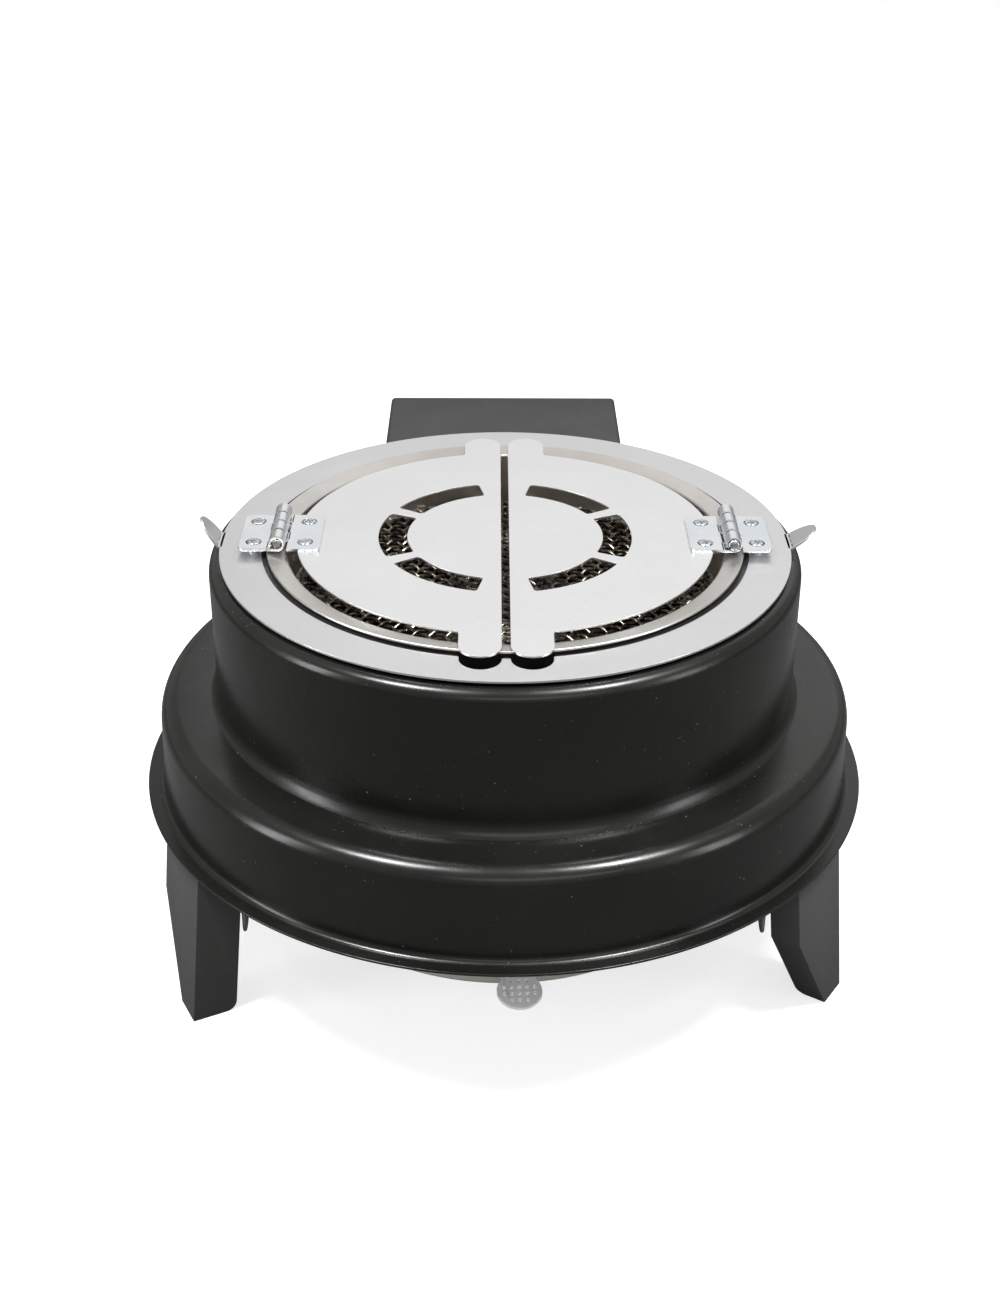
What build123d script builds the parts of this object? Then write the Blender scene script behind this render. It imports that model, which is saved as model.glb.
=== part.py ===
from build123d import *
import os
from math import cos, sin, radians, degrees, sqrt, hypot, atan2, tan

# Gas burner for lighting charcoal: drawn sheet housing on three legs, lift-off
# top with a mesh basket and two hinged half lids, ring burner fed through a
# valve box at the back, slide-out ash tray below. Millimetres, +Z up, floor at
# z = 0. Everything is drawn about the housing axis and moved once at the end.

# ---------------------------------------------------------------- sheet gauges
SHELL_T = 1.2
TOP_T = 1.0
COLLAR_T = 1.2
COLLAR_FLANGE_T = 1.5
BASKET_T = 1.2
LID_T = 0.9
LEAF_T = 1.3
LEG_T = 1.5
BASE_T = 1.0
BOX_T = 1.2
COVER_T = 1.2
TRAY_T = 1.0
HANGER_T = 1.2
STRAP_T = 2.0

# ---------------------------------------------------------------- heights
RING_TOP_Z = 190.0
RING_BOTTOM_Z = RING_TOP_Z - TOP_T
SHELL_TOP_Z = RING_BOTTOM_Z - COLLAR_FLANGE_T
SHOULDER_Z = 122.0
FLANGE_TOP_Z = 80.0
BASE_TOP_Z = FLANGE_TOP_Z - SHELL_T
BASE_BOTTOM_Z = BASE_TOP_Z - BASE_T
TRAY_BOTTOM_Z = 22.5
TRAY_WALL_H = 13.0
TRAY_LIP_Z = TRAY_BOTTOM_Z + TRAY_WALL_H

# ---------------------------------------------------------------- housing
FLANGE_R = 164.4
FLANGE_W = 7.6
LOWER_DRAFT = 1.2
SHOULDER_W = 25.6
MOUTH_LIP = 18.0
LOWER_END_R = FLANGE_R - FLANGE_W
LOWER_TOP_R = LOWER_END_R - LOWER_DRAFT
CYLINDER_R = LOWER_TOP_R - SHOULDER_W
MOUTH_R = CYLINDER_R - MOUTH_LIP
BASE_INNER_R = CYLINDER_R - MOUTH_LIP
TOP_EDGE_R = 5.5
NECK_FILLET_R = 2.6
SHOULDER_FILLET_R = 8.0
FLANGE_FILLET_R = 2.8
FLANGE_EDGE_R = 0.5
BASE_INSET = 3.2
TUBE_PORT_R = 13.0

# ---------------------------------------------------------------- lift-off top
RING_R = CYLINDER_R - 5.0
LIP_R = MOUTH_R - 7.6
COLLAR_R = LIP_R - 1.0
RING_INNER_R = LIP_R + 2.4
EAR_W = 15.6
EAR_FLAT = 2.0
EAR_RISE = 11.5
EAR_LEAN = 54.0
EAR_HOLE_R = 0.9
SCOOP_X = 10.2
SCOOP_R = 8.4
SCOOP_REACH = LIP_R + 11.2
COLLAR_FLANGE_R = MOUTH_R + 7.0
COLLAR_END_Z = RING_TOP_Z - 22.0
LIP_W = 8.8
LIP_RISE = 1.6
WALL_R = LIP_R - LIP_W
BASKET_TOP_Z = RING_TOP_Z + 0.2
LIP_Z = BASKET_TOP_Z + LIP_RISE
LIP_SLOPE = LIP_RISE / LIP_W
COLLAR_TOP_Z = LIP_Z - BASKET_T * sqrt(1.0 + LIP_SLOPE ** 2) - LIP_SLOPE * (LIP_R - COLLAR_R + COLLAR_T)
BASKET_END_Z = RING_TOP_Z - 26.0
BASKET_LEDGE_R = WALL_R - 5.1
MESH_T = 1.6
MESH_PITCH = 14.0
MESH_WIRE = 3.0
BAR_W = 12.0
BAR_T = 2.0

# ---------------------------------------------------------------- lids
LID_GAP = 4.2
LID_R = WALL_R - LID_GAP
LID_Z = LIP_Z
LID_TOP_Z = LID_Z + LID_T
SLIT = 3.5
TAB_X = 19.0
TAB_REACH = LIP_R + 5.6
TAB_ROOT_R = 2.0
VENT_OUT_R = LID_R - 35.8
VENT_W = 12.6
VENT_IN_R = VENT_OUT_R - VENT_W
VENT_SPAN = 40.0
VENT_STEP = 52.0
VENT_CORNER_R = 1.5

# ---------------------------------------------------------------- hinges
PIN_X = LIP_R - 5.8
PIN_R = 2.25
PIN_PLAY = 0.05
BORE_R = PIN_R + PIN_PLAY
BARREL_R = BORE_R + LEAF_T
PIN_Z = LID_TOP_Z + BARREL_R
LEAF_W = 35.0
LEAF_CORNER_R = 3.0
KNUCKLES = 5
KNUCKLE_GAP = 0.3
KNUCKLE_W = (LEAF_W - KNUCKLE_GAP * (KNUCKLES - 1)) / KNUCKLES
LEAF_CLEAR = 0.4
RING_LEAF_X = LIP_R + 11.3
LID_LEAF_X = PIN_X - 18.4
RING_SCREW_X = LIP_R + 5.0
LID_SCREW_X = PIN_X - 11.6
SCREW_Y = 10.4
SCREW_HEAD_R = 2.7
SCREW_HEAD_H = 0.8
SCREW_R = 1.5
SCREW_PLAY = 0.1
PIN_HEAD_R = 3.1
PIN_HEAD_T = 1.3
PIN_END_PLAY = 0.2

# ---------------------------------------------------------------- legs
LEG_AZ = {"leg_left": 207.0, "leg_right": 327.0, "leg_rear": 87.0}
LEG_TOP_R = FLANGE_R - 5.4
LEG_SPLAY = 8.0
LEG_FOOT_R = LEG_TOP_R + LEG_SPLAY
LEG_FLANGE = 20.0
LEG_STRAIGHT = 25.0
LEG_WIDE = -16.5
LEG_NARROW = 8.7
LEG_KNEE_DROP = 32.0
LEG_KNEE_Z = BASE_BOTTOM_Z - LEG_KNEE_DROP
LEG_FOOT_CORNER_R = 5.0
LEG_TAB = 22.0
LEG_RIVET_R = LEG_TOP_R - 15.5
LEG_RIVET_S = (-6.0, 14.0)
RIVET_R = 2.0
RIVET_PLAY = 0.1
RIVET_HEAD_R = 3.6
RIVET_HEAD_H = 1.6

# ---------------------------------------------------------------- burner
TUBE_Z = SHOULDER_Z + 15.0
HEAD_R = 45.0
HEAD_WALL = 3.0
HEAD_BOTTOM_Z = SHOULDER_Z + 5.0
HEAD_H = 22.0
HEAD_TOP_Z = HEAD_BOTTOM_Z + HEAD_H
HEAD_FOOT_R = 15.0
HEAD_CORNER_R = 6.0
BOSS_R = 11.5
BOSS_END_Y = HEAD_R + 15.0
TUBE_R = 9.5
TUBE_BORE_R = 8.2
TUBE_SEAT_Y = HEAD_R + 3.0
TUBE_END_Y = CYLINDER_R + 20.0
TUBE_BELL_R = 12.0
CAP_T = 4.0
PORTS = 12
PORT_R = 2.2
PORT_CIRCLE_R = HEAD_R - 13.0
STRAP_W = 26.0
STRAP_HALF = CYLINDER_R + 17.0
STRAP_Z = SHOULDER_Z - SHELL_T
BOLT_R = 3.0

# ---------------------------------------------------------------- gas box
BOX_HALF_W = 61.0
BOX_DEPTH = 87.0
BOX_END_Y = CYLINDER_R + BOX_DEPTH
BOX_REAR_Y = BOX_END_Y - BOX_T
BOX_TOP_Z = RING_TOP_Z - 17.5
BOX_GAP = 0.5
BOX_BEND_R = 2.5
BOX_LIP_W = 10.0
BOX_RIVET_X = 46.0
BOX_RIVET_R = CYLINDER_R + 11.2
VALVE_HALF_W = 12.0
VALVE_Y0 = BOX_END_Y - 45.0
VALVE_Y1 = BOX_END_Y - 17.0
VALVE_HALF_H = 12.0
NECK_R = 6.0
STEM_R = 3.0
STEM_PLAY = 0.05
KNOB_R = 19.0
KNOB_Y0 = BOX_END_Y + 6.0
KNOB_Y1 = KNOB_Y0 + 16.0
INLET_X = -36.0
INLET_END_Y = BOX_END_Y + 24.0
INLET_R = 7.9
INLET_NECK_R = 7.5
INLET_PIPE_R = 6.0
INLET_BORE_R = 3.5
INLET_NUT_T = 5.0

# ---------------------------------------------------------------- ash tray
HANGER_X = BASE_INNER_R + 5.5
HANGER_Y = 58.0
HANGER_W = 14.0
HANGER_END_Z = TRAY_BOTTOM_Z - 1.0
TRAY_R = HANGER_X - 17.75
TRAY_LIP_R = TRAY_R + 5.25
TRAY_PLAY = 0.05
RAIL_IN_X = TRAY_R + 1.65
RAIL_HALF = HANGER_Y + 6.0
LEDGE_HALF = HANGER_Y - 14.0
RAIL_H = 9.0
HANDLE_R = 9.8
HANDLE_CENTRE_R = TRAY_R + 17.25
HANDLE_NECK_W = 15.0
HANDLE_CLEAR = 0.5
HANDLE_DROP = 9.0
HANDLE_AZ = 273.2

# The front of the flange and the end of the gas inlet bound the object in Y.
AXIS_Y = (FLANGE_R - INLET_END_Y) / 2.0

os.makedirs("parts", exist_ok=True)


def save(node, shape):
    """Move a finished piece from the housing axis to the object frame."""
    export_step(Pos(0, AXIS_Y, 0) * shape, "parts/" + node + ".step")


def strip(points, radii, gauge, side):
    """Sheet profile in (x, z): a bent line thickened to one side.

    side is +1 to thicken to the left of the line and -1 to the right; radii
    are those of the drawn line at its inner corners.
    """
    count = len(points)
    near = []
    inner = []
    for i in range(count):
        px, pz = points[i]
        normals = []
        if i > 0:
            qx, qz = points[i - 1]
            run = hypot(px - qx, pz - qz)
            normals.append((-(pz - qz) / run * side, (px - qx) / run * side))
        if i < count - 1:
            qx, qz = points[i + 1]
            run = hypot(qx - px, qz - pz)
            normals.append((-(qz - pz) / run * side, (qx - px) / run * side))
        if len(normals) == 1:
            nx, nz = normals[0]
            near.append((px + nx * gauge, pz + nz * gauge))
            inner.append(0.0)
            continue
        (ax, az), (bx, bz) = normals
        scale = gauge / (1.0 + ax * bx + az * bz)
        near.append((px + (ax + bx) * scale, pz + (az + bz) * scale))
        turn = (ax * bz - az * bx) * side
        inner.append(max(radii[i] - gauge * (1 if turn > 0 else -1), 0.0))
    outline = list(points) + near[::-1]
    rounds = list(radii) + inner[::-1]
    return outline, rounds


def profile(outline, rounds, plane):
    """Closed face from corner points, each corner with its own radius."""
    spots = [plane.from_local_coords(Vector(a, b, 0)) for a, b in outline]
    wire = FilletPolyline(*spots, radius=rounds, close=True)
    return make_face(wire)


def spun(points, radii, gauge, side):
    """Sheet piece of revolution about the housing axis."""
    outline, rounds = strip(points, radii, gauge, side)
    return revolve(profile(outline, rounds, Plane.XZ), Axis.Z)


def bent(points, radii, gauge, side, width):
    """Sheet piece bent along X and drawn out along Y, centred on Y = 0."""
    outline, rounds = strip(points, radii, gauge, side)
    return extrude(profile(outline, rounds, Plane.XZ), width / 2.0, both=True)


def rod(radius, z0, z1, x=0.0, y=0.0):
    """Upright cylinder between two heights."""
    return Pos(x, y, (z0 + z1) / 2.0) * Cylinder(radius, z1 - z0)


def rod_y(radius, y0, y1, x=0.0, z=0.0):
    """Cylinder along Y between two depths."""
    return Pos(x, (y0 + y1) / 2.0, z) * Rot(90, 0, 0) * Cylinder(radius, y1 - y0)


def rod_x(radius, x0, x1, y=0.0, z=0.0):
    """Cylinder along X between two sides."""
    return Pos((x0 + x1) / 2.0, y, z) * Rot(0, 90, 0) * Cylinder(radius, x1 - x0)


def block(x0, x1, y0, y1, z0, z1):
    """Box between two corners."""
    centre = Pos((x0 + x1) / 2.0, (y0 + y1) / 2.0, (z0 + z1) / 2.0)
    return centre * Box(x1 - x0, y1 - y0, z1 - z0)


def plate(sketch, z0, z1):
    """Flat piece from a sketch drawn on the XY plane."""
    return Pos(0, 0, z0) * extrude(sketch, z1 - z0)


def annulus(outer, bore, z0, z1):
    """Flat ring."""
    return plate(Circle(outer) - Circle(bore), z0, z1)


def hex_y(across, y0, y1, x, z):
    """Hexagon bar along Y."""
    flat = RegularPolygon(across / 2.0, 6, major_radius=False)
    bar = extrude(flat, y1 - y0)
    return Pos(x, y0, z) * Rot(-90, 0, 0) * bar


def rivet(x, y, z_low, z_high):
    """Round-head rivet closed on both faces of a stack of sheet."""
    low = rod(RIVET_HEAD_R, z_low - RIVET_HEAD_H, z_low, x, y)
    low = chamfer(low.edges().sort_by(Axis.Z)[0], 0.8)
    high = rod(RIVET_HEAD_R, z_high, z_high + RIVET_HEAD_H, x, y)
    high = chamfer(high.edges().sort_by(Axis.Z)[-1], 0.8)
    return low + rod(RIVET_R, z_low - 0.1, z_high + 0.1, x, y) + high


def group(solids):
    """Identical fasteners kept as separate solids of one node."""
    return Compound([s.solid() for s in solids])


def polar(radius, azimuth):
    """Point on a circle about the housing axis."""
    return radius * cos(radians(azimuth)), radius * sin(radians(azimuth))


# ================================================================ housing shell
shell_line = [
    (MOUTH_R, SHELL_TOP_Z),
    (CYLINDER_R, SHELL_TOP_Z),
    (CYLINDER_R, SHOULDER_Z),
    (LOWER_TOP_R, SHOULDER_Z),
    (LOWER_END_R, FLANGE_TOP_Z),
    (FLANGE_R, FLANGE_TOP_Z),
]
shell_radii = [0, TOP_EDGE_R, NECK_FILLET_R, SHOULDER_FILLET_R, FLANGE_FILLET_R, 0]
shell = spun(shell_line, shell_radii, SHELL_T, -1)
rim_edges = [e for e in shell.edges().filter_by(GeomType.CIRCLE) if abs(e.radius - FLANGE_R) < 0.01]
shell = fillet(rim_edges, FLANGE_EDGE_R)
shell -= rod_y(TUBE_PORT_R, CYLINDER_R - 20, CYLINDER_R + 5, 0, TUBE_Z)
BOX_RIVET_Y = sqrt(BOX_RIVET_R ** 2 - BOX_RIVET_X ** 2)
BOX_SCREWS = [(-BOX_RIVET_X, BOX_RIVET_Y), (BOX_RIVET_X, BOX_RIVET_Y)]
for x, y in BOX_SCREWS:
    shell -= rod(RIVET_R + RIVET_PLAY, SHOULDER_Z - 5, SHOULDER_Z + 5, x, y)
save("housing_shell", shell)

# ================================================================ base ring
base = annulus(FLANGE_R - BASE_INSET, BASE_INNER_R, BASE_BOTTOM_Z, BASE_TOP_Z)
leg_spots = []
for azimuth in LEG_AZ.values():
    for s in LEG_RIVET_S:
        ax, ay = polar(LEG_RIVET_R, azimuth)
        leg_spots.append((ax - s * sin(radians(azimuth)), ay + s * cos(radians(azimuth))))
HANGER_SPOTS = [(sx * (HANGER_X - 8.0), sy * HANGER_Y) for sx in (-1, 1) for sy in (-1, 1)]
for x, y in leg_spots + HANGER_SPOTS:
    base -= rod(RIVET_R + RIVET_PLAY, BASE_BOTTOM_Z - 1, BASE_TOP_Z + 1, x, y)
save("base_ring", base)

# ================================================================ legs
def leg():
    """Tapered channel: web outside, two flanges inward, tab under the base."""
    top = BASE_BOTTOM_Z
    side_out = [
        (LEG_TOP_R, top),
        (LEG_FOOT_R, 0.0),
        (LEG_FOOT_R - LEG_FLANGE, 0.0),
        (LEG_TOP_R - LEG_FLANGE, top),
    ]
    side = profile(side_out, [2.0, 0, LEG_FOOT_CORNER_R, 0], Plane.XZ)
    slope = (LEG_FOOT_R - LEG_TOP_R) / top
    low = -5.0
    bore = [
        (LEG_TOP_R - LEG_T - slope * 5.0, top + 5.0),
        (LEG_FOOT_R - LEG_T - slope * low, low),
        (LEG_TOP_R - 2 * LEG_FLANGE, low),
        (LEG_TOP_R - 2 * LEG_FLANGE, top + 5.0),
    ]
    bore = profile(bore, [0, 0, 0, 0], Plane.XZ)
    drift = (LEG_NARROW - LEG_WIDE) / LEG_KNEE_Z
    def web(inset, z_top, z_low):
        """Web outline in (s, z), drawn out across the leg."""
        spots = [
            (LEG_WIDE + inset, z_top),
            (LEG_STRAIGHT - inset, z_top),
            (LEG_STRAIGHT - inset, z_low),
            (LEG_NARROW + inset - drift * z_low, z_low),
            (LEG_WIDE + inset, LEG_KNEE_Z),
        ]
        face = profile(spots, [0, 0, 0, 0, 0], Plane.YZ)
        return extrude(face, 2 * LEG_FOOT_R, both=True)
    outer = extrude(side, 40, both=True) & web(0.0, top, 0.0)
    inner = extrude(bore, 40, both=True) & web(LEG_T, top + 5.0, -5.0)
    channel = outer - inner
    tab = block(LEG_TOP_R - LEG_TAB, LEG_TOP_R - 1.0, LEG_WIDE + 1.0, LEG_STRAIGHT - 1.0, top - LEG_T, top)
    body = channel + tab
    for s in LEG_RIVET_S:
        body -= rod(RIVET_R + RIVET_PLAY, top - 5, top + 5, LEG_RIVET_R, s)
    return body


one_leg = leg()
for node, azimuth in LEG_AZ.items():
    save(node, Rot(0, 0, azimuth) * one_leg)
save("leg_rivets", group([rivet(x, y, BASE_BOTTOM_Z - LEG_T, BASE_TOP_Z) for x, y in leg_spots]))

# ================================================================ ring plate
def scoop_sketch(radius, reach):
    """Four finger scoops let into a ring from its bore."""
    cuts = Sketch()
    for sx in (-1, 1):
        for sy in (-1, 1):
            y = sy * (reach - radius)
            cuts += Pos(sx * SCOOP_X, y) * Circle(radius)
            cuts += Pos(sx * SCOOP_X, y - sy * 8.0) * Rectangle(2 * radius, 16.0)
    return cuts


ring = Circle(RING_R) - Circle(RING_INNER_R) - scoop_sketch(SCOOP_R, SCOOP_REACH)
ring = plate(ring, RING_BOTTOM_Z, RING_TOP_Z)
for side in (-1, 1):
    x0 = RING_R + EAR_FLAT
    tip_x = x0 + EAR_RISE * cos(radians(EAR_LEAN))
    tip_z = RING_TOP_Z + EAR_RISE * sin(radians(EAR_LEAN))
    line = [(RING_R - 4, RING_TOP_Z), (x0, RING_TOP_Z), (tip_x, tip_z)]
    ear = bent(line, [0, 1.6, 0], TOP_T, -1, EAR_W)
    tips = [e for e in ear.edges() if abs(e.length - TOP_T) < 0.01 and e.center().X > x0 + 4]
    ear = fillet(tips, EAR_W / 2.0 - 0.6)
    for k in range(4):
        ear -= rod(EAR_HOLE_R, RING_TOP_Z - 5, RING_TOP_Z + 9, x0 + 2.4, (k - 1.5) * 3.4)
    if side < 0:
        ear = Rot(0, 0, 180) * ear
    ring += ear
for sx in (-1, 1):
    for sy in (-1, 1):
        ring -= rod(SCREW_R + SCREW_PLAY, RING_BOTTOM_Z - 1, RING_TOP_Z + 1, sx * RING_SCREW_X, sy * SCREW_Y)
save("ring_plate", ring)

# ================================================================ collar
collar = annulus(COLLAR_R, COLLAR_R - COLLAR_T, COLLAR_END_Z, COLLAR_TOP_Z)
flange = Circle(COLLAR_FLANGE_R) - Circle(COLLAR_R - 0.4) - scoop_sketch(SCOOP_R + 0.6, SCOOP_REACH + 0.6)
web_ring = Circle(COLLAR_R) - Circle(COLLAR_R - 0.4)
collar += plate(flange + web_ring, SHELL_TOP_Z, RING_BOTTOM_Z)
for sx in (-1, 1):
    for sy in (-1, 1):
        collar -= rod(SCREW_R + SCREW_PLAY, SHELL_TOP_Z - 1, RING_BOTTOM_Z + 1, sx * RING_SCREW_X, sy * SCREW_Y)
save("ring_collar", collar)

# ================================================================ basket
rim_line = [
    (LIP_R, LIP_Z),
    (WALL_R, BASKET_TOP_Z),
    (WALL_R, BASKET_END_Z + BASKET_T),
    (BASKET_LEDGE_R, BASKET_END_Z + BASKET_T),
]
save("basket_rim", spun(rim_line, [0, 1.4, 0.6, 0], BASKET_T, 1))

MESH_Z = BASKET_END_Z + BASKET_T
mesh_r = WALL_R - 1.0
cells = []
count = int(mesh_r // MESH_PITCH) + 1
half = (MESH_PITCH - MESH_WIRE) / 2.0
for i in range(-count, count):
    for j in range(-count, count):
        cx = (i + 0.5) * MESH_PITCH
        cy = (j + 0.5) * MESH_PITCH
        if hypot(abs(cx) + half, abs(cy) + half) < mesh_r - 4.0:
            cells.append(Pos(cx, cy) * Rectangle(2 * half, 2 * half))
mesh = Circle(mesh_r) - cells
save("basket_mesh", plate(mesh, MESH_Z, MESH_Z + MESH_T))

bar_len = 2 * (BASKET_LEDGE_R + 3.0)
bars = Rectangle(bar_len, BAR_W) + Rectangle(BAR_W, bar_len)
save("basket_cross_bars", plate(bars, BASKET_END_Z - BAR_T, BASKET_END_Z))

# ================================================================ lids
def lid_sketch():
    """Right-hand half lid, seen from above."""
    half_slit = SLIT / 2.0
    tab_r = (TAB_X - half_slit) / 2.0
    tab_c = (TAB_X + half_slit) / 2.0
    tab_y = TAB_REACH - tab_r
    face = Circle(LID_R) & (Pos(half_slit + LID_R, 0) * Rectangle(2 * LID_R, 3 * LID_R))
    tongue = Pos(tab_c, 0) * Rectangle(2 * tab_r, 2 * tab_y)
    face += tongue + Pos(tab_c, tab_y) * Circle(tab_r) + Pos(tab_c, -tab_y) * Circle(tab_r)
    root_y = sqrt(LID_R ** 2 - TAB_X ** 2)
    roots = [v for v in face.vertices() if abs(v.X - TAB_X) < 0.01 and abs(abs(v.Y) - root_y) < 0.01]
    face = fillet(roots, TAB_ROOT_R)
    band = Circle(VENT_OUT_R) - Circle(VENT_IN_R)
    for k in (-1, 0, 1):
        a0 = k * VENT_STEP - VENT_SPAN / 2.0
        a1 = k * VENT_STEP + VENT_SPAN / 2.0
        far = 2 * VENT_OUT_R
        wedge = Polygon((0, 0), polar(far, a0), polar(far, a1), align=None)
        slot = band & wedge
        slot = fillet(slot.vertices(), VENT_CORNER_R)
        face -= slot
    return face


lid = plate(lid_sketch(), LID_Z, LID_TOP_Z)
for sy in (-1, 1):
    lid -= rod(SCREW_R + SCREW_PLAY, LID_Z - 1, LID_TOP_Z + 1, LID_SCREW_X, sy * SCREW_Y)
save("lid_right", lid)
save("lid_left", Rot(0, 0, 180) * lid)

# ================================================================ hinges
def knuckle_bands(numbers, slack):
    """Depth ranges of the numbered knuckles, widened by a slack each side."""
    bands = []
    for k in numbers:
        y0 = -LEAF_W / 2.0 + k * (KNUCKLE_W + KNUCKLE_GAP)
        bands.append((y0 - slack, y0 + KNUCKLE_W + slack))
    return bands


def curl(side):
    """Knuckle section: the leaf runs in under the pin and curls up and over.

    side is +1 when the leaf lies on the +X side of the pin.
    """
    loop = Circle(BARREL_R) - Circle(BORE_R)
    mouth = Polygon(
        (0, 0),
        (side * 6.0, 3.2),
        (side * 6.0, -BORE_R - 0.02),
        (side * 0.6, -BORE_R - 0.02),
        align=None,
    )
    return loop - mouth


def leaf(side, line, numbers, far_x, screw_x, z_top):
    """One hinge leaf with its knuckles, for the right-hand hinge."""
    width = LEAF_W
    sheet = bent(line, [0] * len(line), LEAF_T, side, width)
    keep = Part()
    reach = BARREL_R + LEAF_CLEAR
    for y0, y1 in knuckle_bands(numbers, 0.0):
        keep += block(PIN_X - 30, PIN_X + 30, y0, y1, PIN_Z - 20, PIN_Z + 20)
    flat_x = PIN_X + side * reach
    keep += block(min(flat_x, far_x + side * 5), max(flat_x, far_x + side * 5), -20, 20, PIN_Z - 20, PIN_Z + 20)
    body = sheet & keep
    for y0, y1 in knuckle_bands(numbers, 0.0):
        ring_face = Plane(origin=(PIN_X, y1, PIN_Z), x_dir=(1, 0, 0), z_dir=(0, -1, 0)) * curl(side)
        body += extrude(ring_face, y1 - y0)
    corners = []
    for e in body.edges().filter_by(Axis.Z):
        if abs(e.center().X - far_x) < 0.01 and abs(abs(e.center().Y) - width / 2.0) < 0.01:
            corners.append(e)
    body = fillet(corners, LEAF_CORNER_R)
    for sy in (-1, 1):
        body -= rod(SCREW_R + SCREW_PLAY, z_top - 4, z_top + 1, screw_x, sy * SCREW_Y)
        body -= rod(SCREW_HEAD_R + 0.1, z_top - SCREW_HEAD_H, z_top + 1, screw_x, sy * SCREW_Y)
    return body


BARREL_LOW = PIN_Z - BARREL_R
ring_leaf_line = [
    (PIN_X, BARREL_LOW),
    (LIP_R + 0.7, BARREL_LOW),
    (LIP_R + 2.1, RING_TOP_Z),
    (RING_LEAF_X, RING_TOP_Z),
]
lid_leaf_line = [(PIN_X, BARREL_LOW), (LID_LEAF_X, BARREL_LOW)]
ring_leaf = leaf(1, ring_leaf_line, (0, 2, 4), RING_LEAF_X, RING_SCREW_X, RING_TOP_Z + LEAF_T)
lid_leaf = leaf(-1, lid_leaf_line, (1, 3), LID_LEAF_X, LID_SCREW_X, LID_TOP_Z + LEAF_T)
pin = rod_y(PIN_R, -LEAF_W / 2.0 - PIN_END_PLAY, LEAF_W / 2.0 + PIN_END_PLAY, PIN_X, PIN_Z)
for sy in (-1, 1):
    y0 = sy * (LEAF_W / 2.0 + PIN_END_PLAY)
    cap = rod_y(PIN_HEAD_R, min(y0, y0 + sy * PIN_HEAD_T), max(y0, y0 + sy * PIN_HEAD_T), PIN_X, PIN_Z)
    outer_edge = cap.edges().sort_by(Axis.Y)[-1 if sy > 0 else 0]
    pin += chamfer(outer_edge, 0.6)


def screw(x, y, z_head, z_end):
    """Flat-head hinge screw with a cross recess, set flush in its leaf."""
    low = z_head - SCREW_HEAD_H
    body = rod(SCREW_HEAD_R, low, z_head, x, y) + rod(SCREW_R, z_end, low, x, y)
    body -= block(x - 1.6, x + 1.6, y - 0.3, y + 0.3, z_head - 0.5, z_head + 1)
    body -= block(x - 0.3, x + 0.3, y - 1.6, y + 1.6, z_head - 0.5, z_head + 1)
    return body


ring_screws = []
for side, hand in ((1, "right"), (-1, "left")):
    turn = Rot(0, 0, 0 if side > 0 else 180)
    save("hinge_ring_leaf_" + hand, turn * ring_leaf)
    save("hinge_lid_leaf_" + hand, turn * lid_leaf)
    save("hinge_pin_" + hand, turn * pin)
    lid_screws = []
    for sy in (-1, 1):
        x = side * RING_SCREW_X
        ring_screws.append(screw(x, sy * SCREW_Y, RING_TOP_Z + LEAF_T, SHELL_TOP_Z - 1.2))
        x = side * LID_SCREW_X
        lid_screws.append(screw(x, sy * SCREW_Y, LID_TOP_Z + LEAF_T, LID_Z - 1.5))
    save("lid_leaf_screws_" + hand, group(lid_screws))
save("ring_leaf_screws", group(ring_screws))

# ================================================================ burner
head = rod(HEAD_R, HEAD_BOTTOM_Z, HEAD_TOP_Z)
low_edge = head.edges().filter_by(GeomType.CIRCLE).sort_by(Axis.Z)[0]
head = fillet(low_edge, HEAD_CORNER_R)
head += rod(HEAD_FOOT_R, STRAP_Z, HEAD_BOTTOM_Z + 1)
head += rod_y(BOSS_R, 30.0, BOSS_END_Y, 0, TUBE_Z)
cavity = rod(HEAD_R - HEAD_WALL, HEAD_BOTTOM_Z + HEAD_WALL, HEAD_TOP_Z + 1)
head -= cavity
head -= rod_y(TUBE_BORE_R, 20.0, BOSS_END_Y + 1, 0, TUBE_Z)
head -= rod_y(TUBE_R, TUBE_SEAT_Y, BOSS_END_Y + 1, 0, TUBE_Z)
head -= rod(BOLT_R, SHOULDER_Z - 5, HEAD_BOTTOM_Z + HEAD_WALL - 1.0)
save("burner_head", head)

cap = rod(HEAD_R, HEAD_TOP_Z, HEAD_TOP_Z + CAP_T)
cap = fillet(cap.edges().filter_by(GeomType.CIRCLE).sort_by(Axis.Z)[-1], 1.5)
spigot = annulus(HEAD_R - HEAD_WALL - 0.3, HEAD_R - HEAD_WALL - 3.3, HEAD_TOP_Z - 4.0, HEAD_TOP_Z + 0.5)
cap += spigot
for k in range(PORTS):
    x, y = polar(PORT_CIRCLE_R, 360.0 / PORTS * k)
    cap -= rod(PORT_R, HEAD_TOP_Z - 6, HEAD_TOP_Z + CAP_T + 1, x, y)
cap -= rod(4.0, HEAD_TOP_Z - 1, HEAD_TOP_Z + CAP_T + 1)
save("burner_cap", cap)

strap = Rectangle(2 * STRAP_HALF, STRAP_W)
strap = fillet(strap.vertices(), 6.0)
strap = plate(strap, STRAP_Z - STRAP_T, STRAP_Z)
strap -= rod(BOLT_R + 0.2, STRAP_Z - STRAP_T - 1, STRAP_Z + 1)
save("burner_strap", strap)

bolt_top = HEAD_BOTTOM_Z + HEAD_WALL - 2.0
bolt = rod(BOLT_R - 0.1, STRAP_Z - STRAP_T, bolt_top)
bolt_head = extrude(RegularPolygon(5.0, 6, major_radius=False), 4.0)
bolt += Pos(0, 0, STRAP_Z - STRAP_T - 4.0) * bolt_head
save("burner_bolt", bolt)

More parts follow.
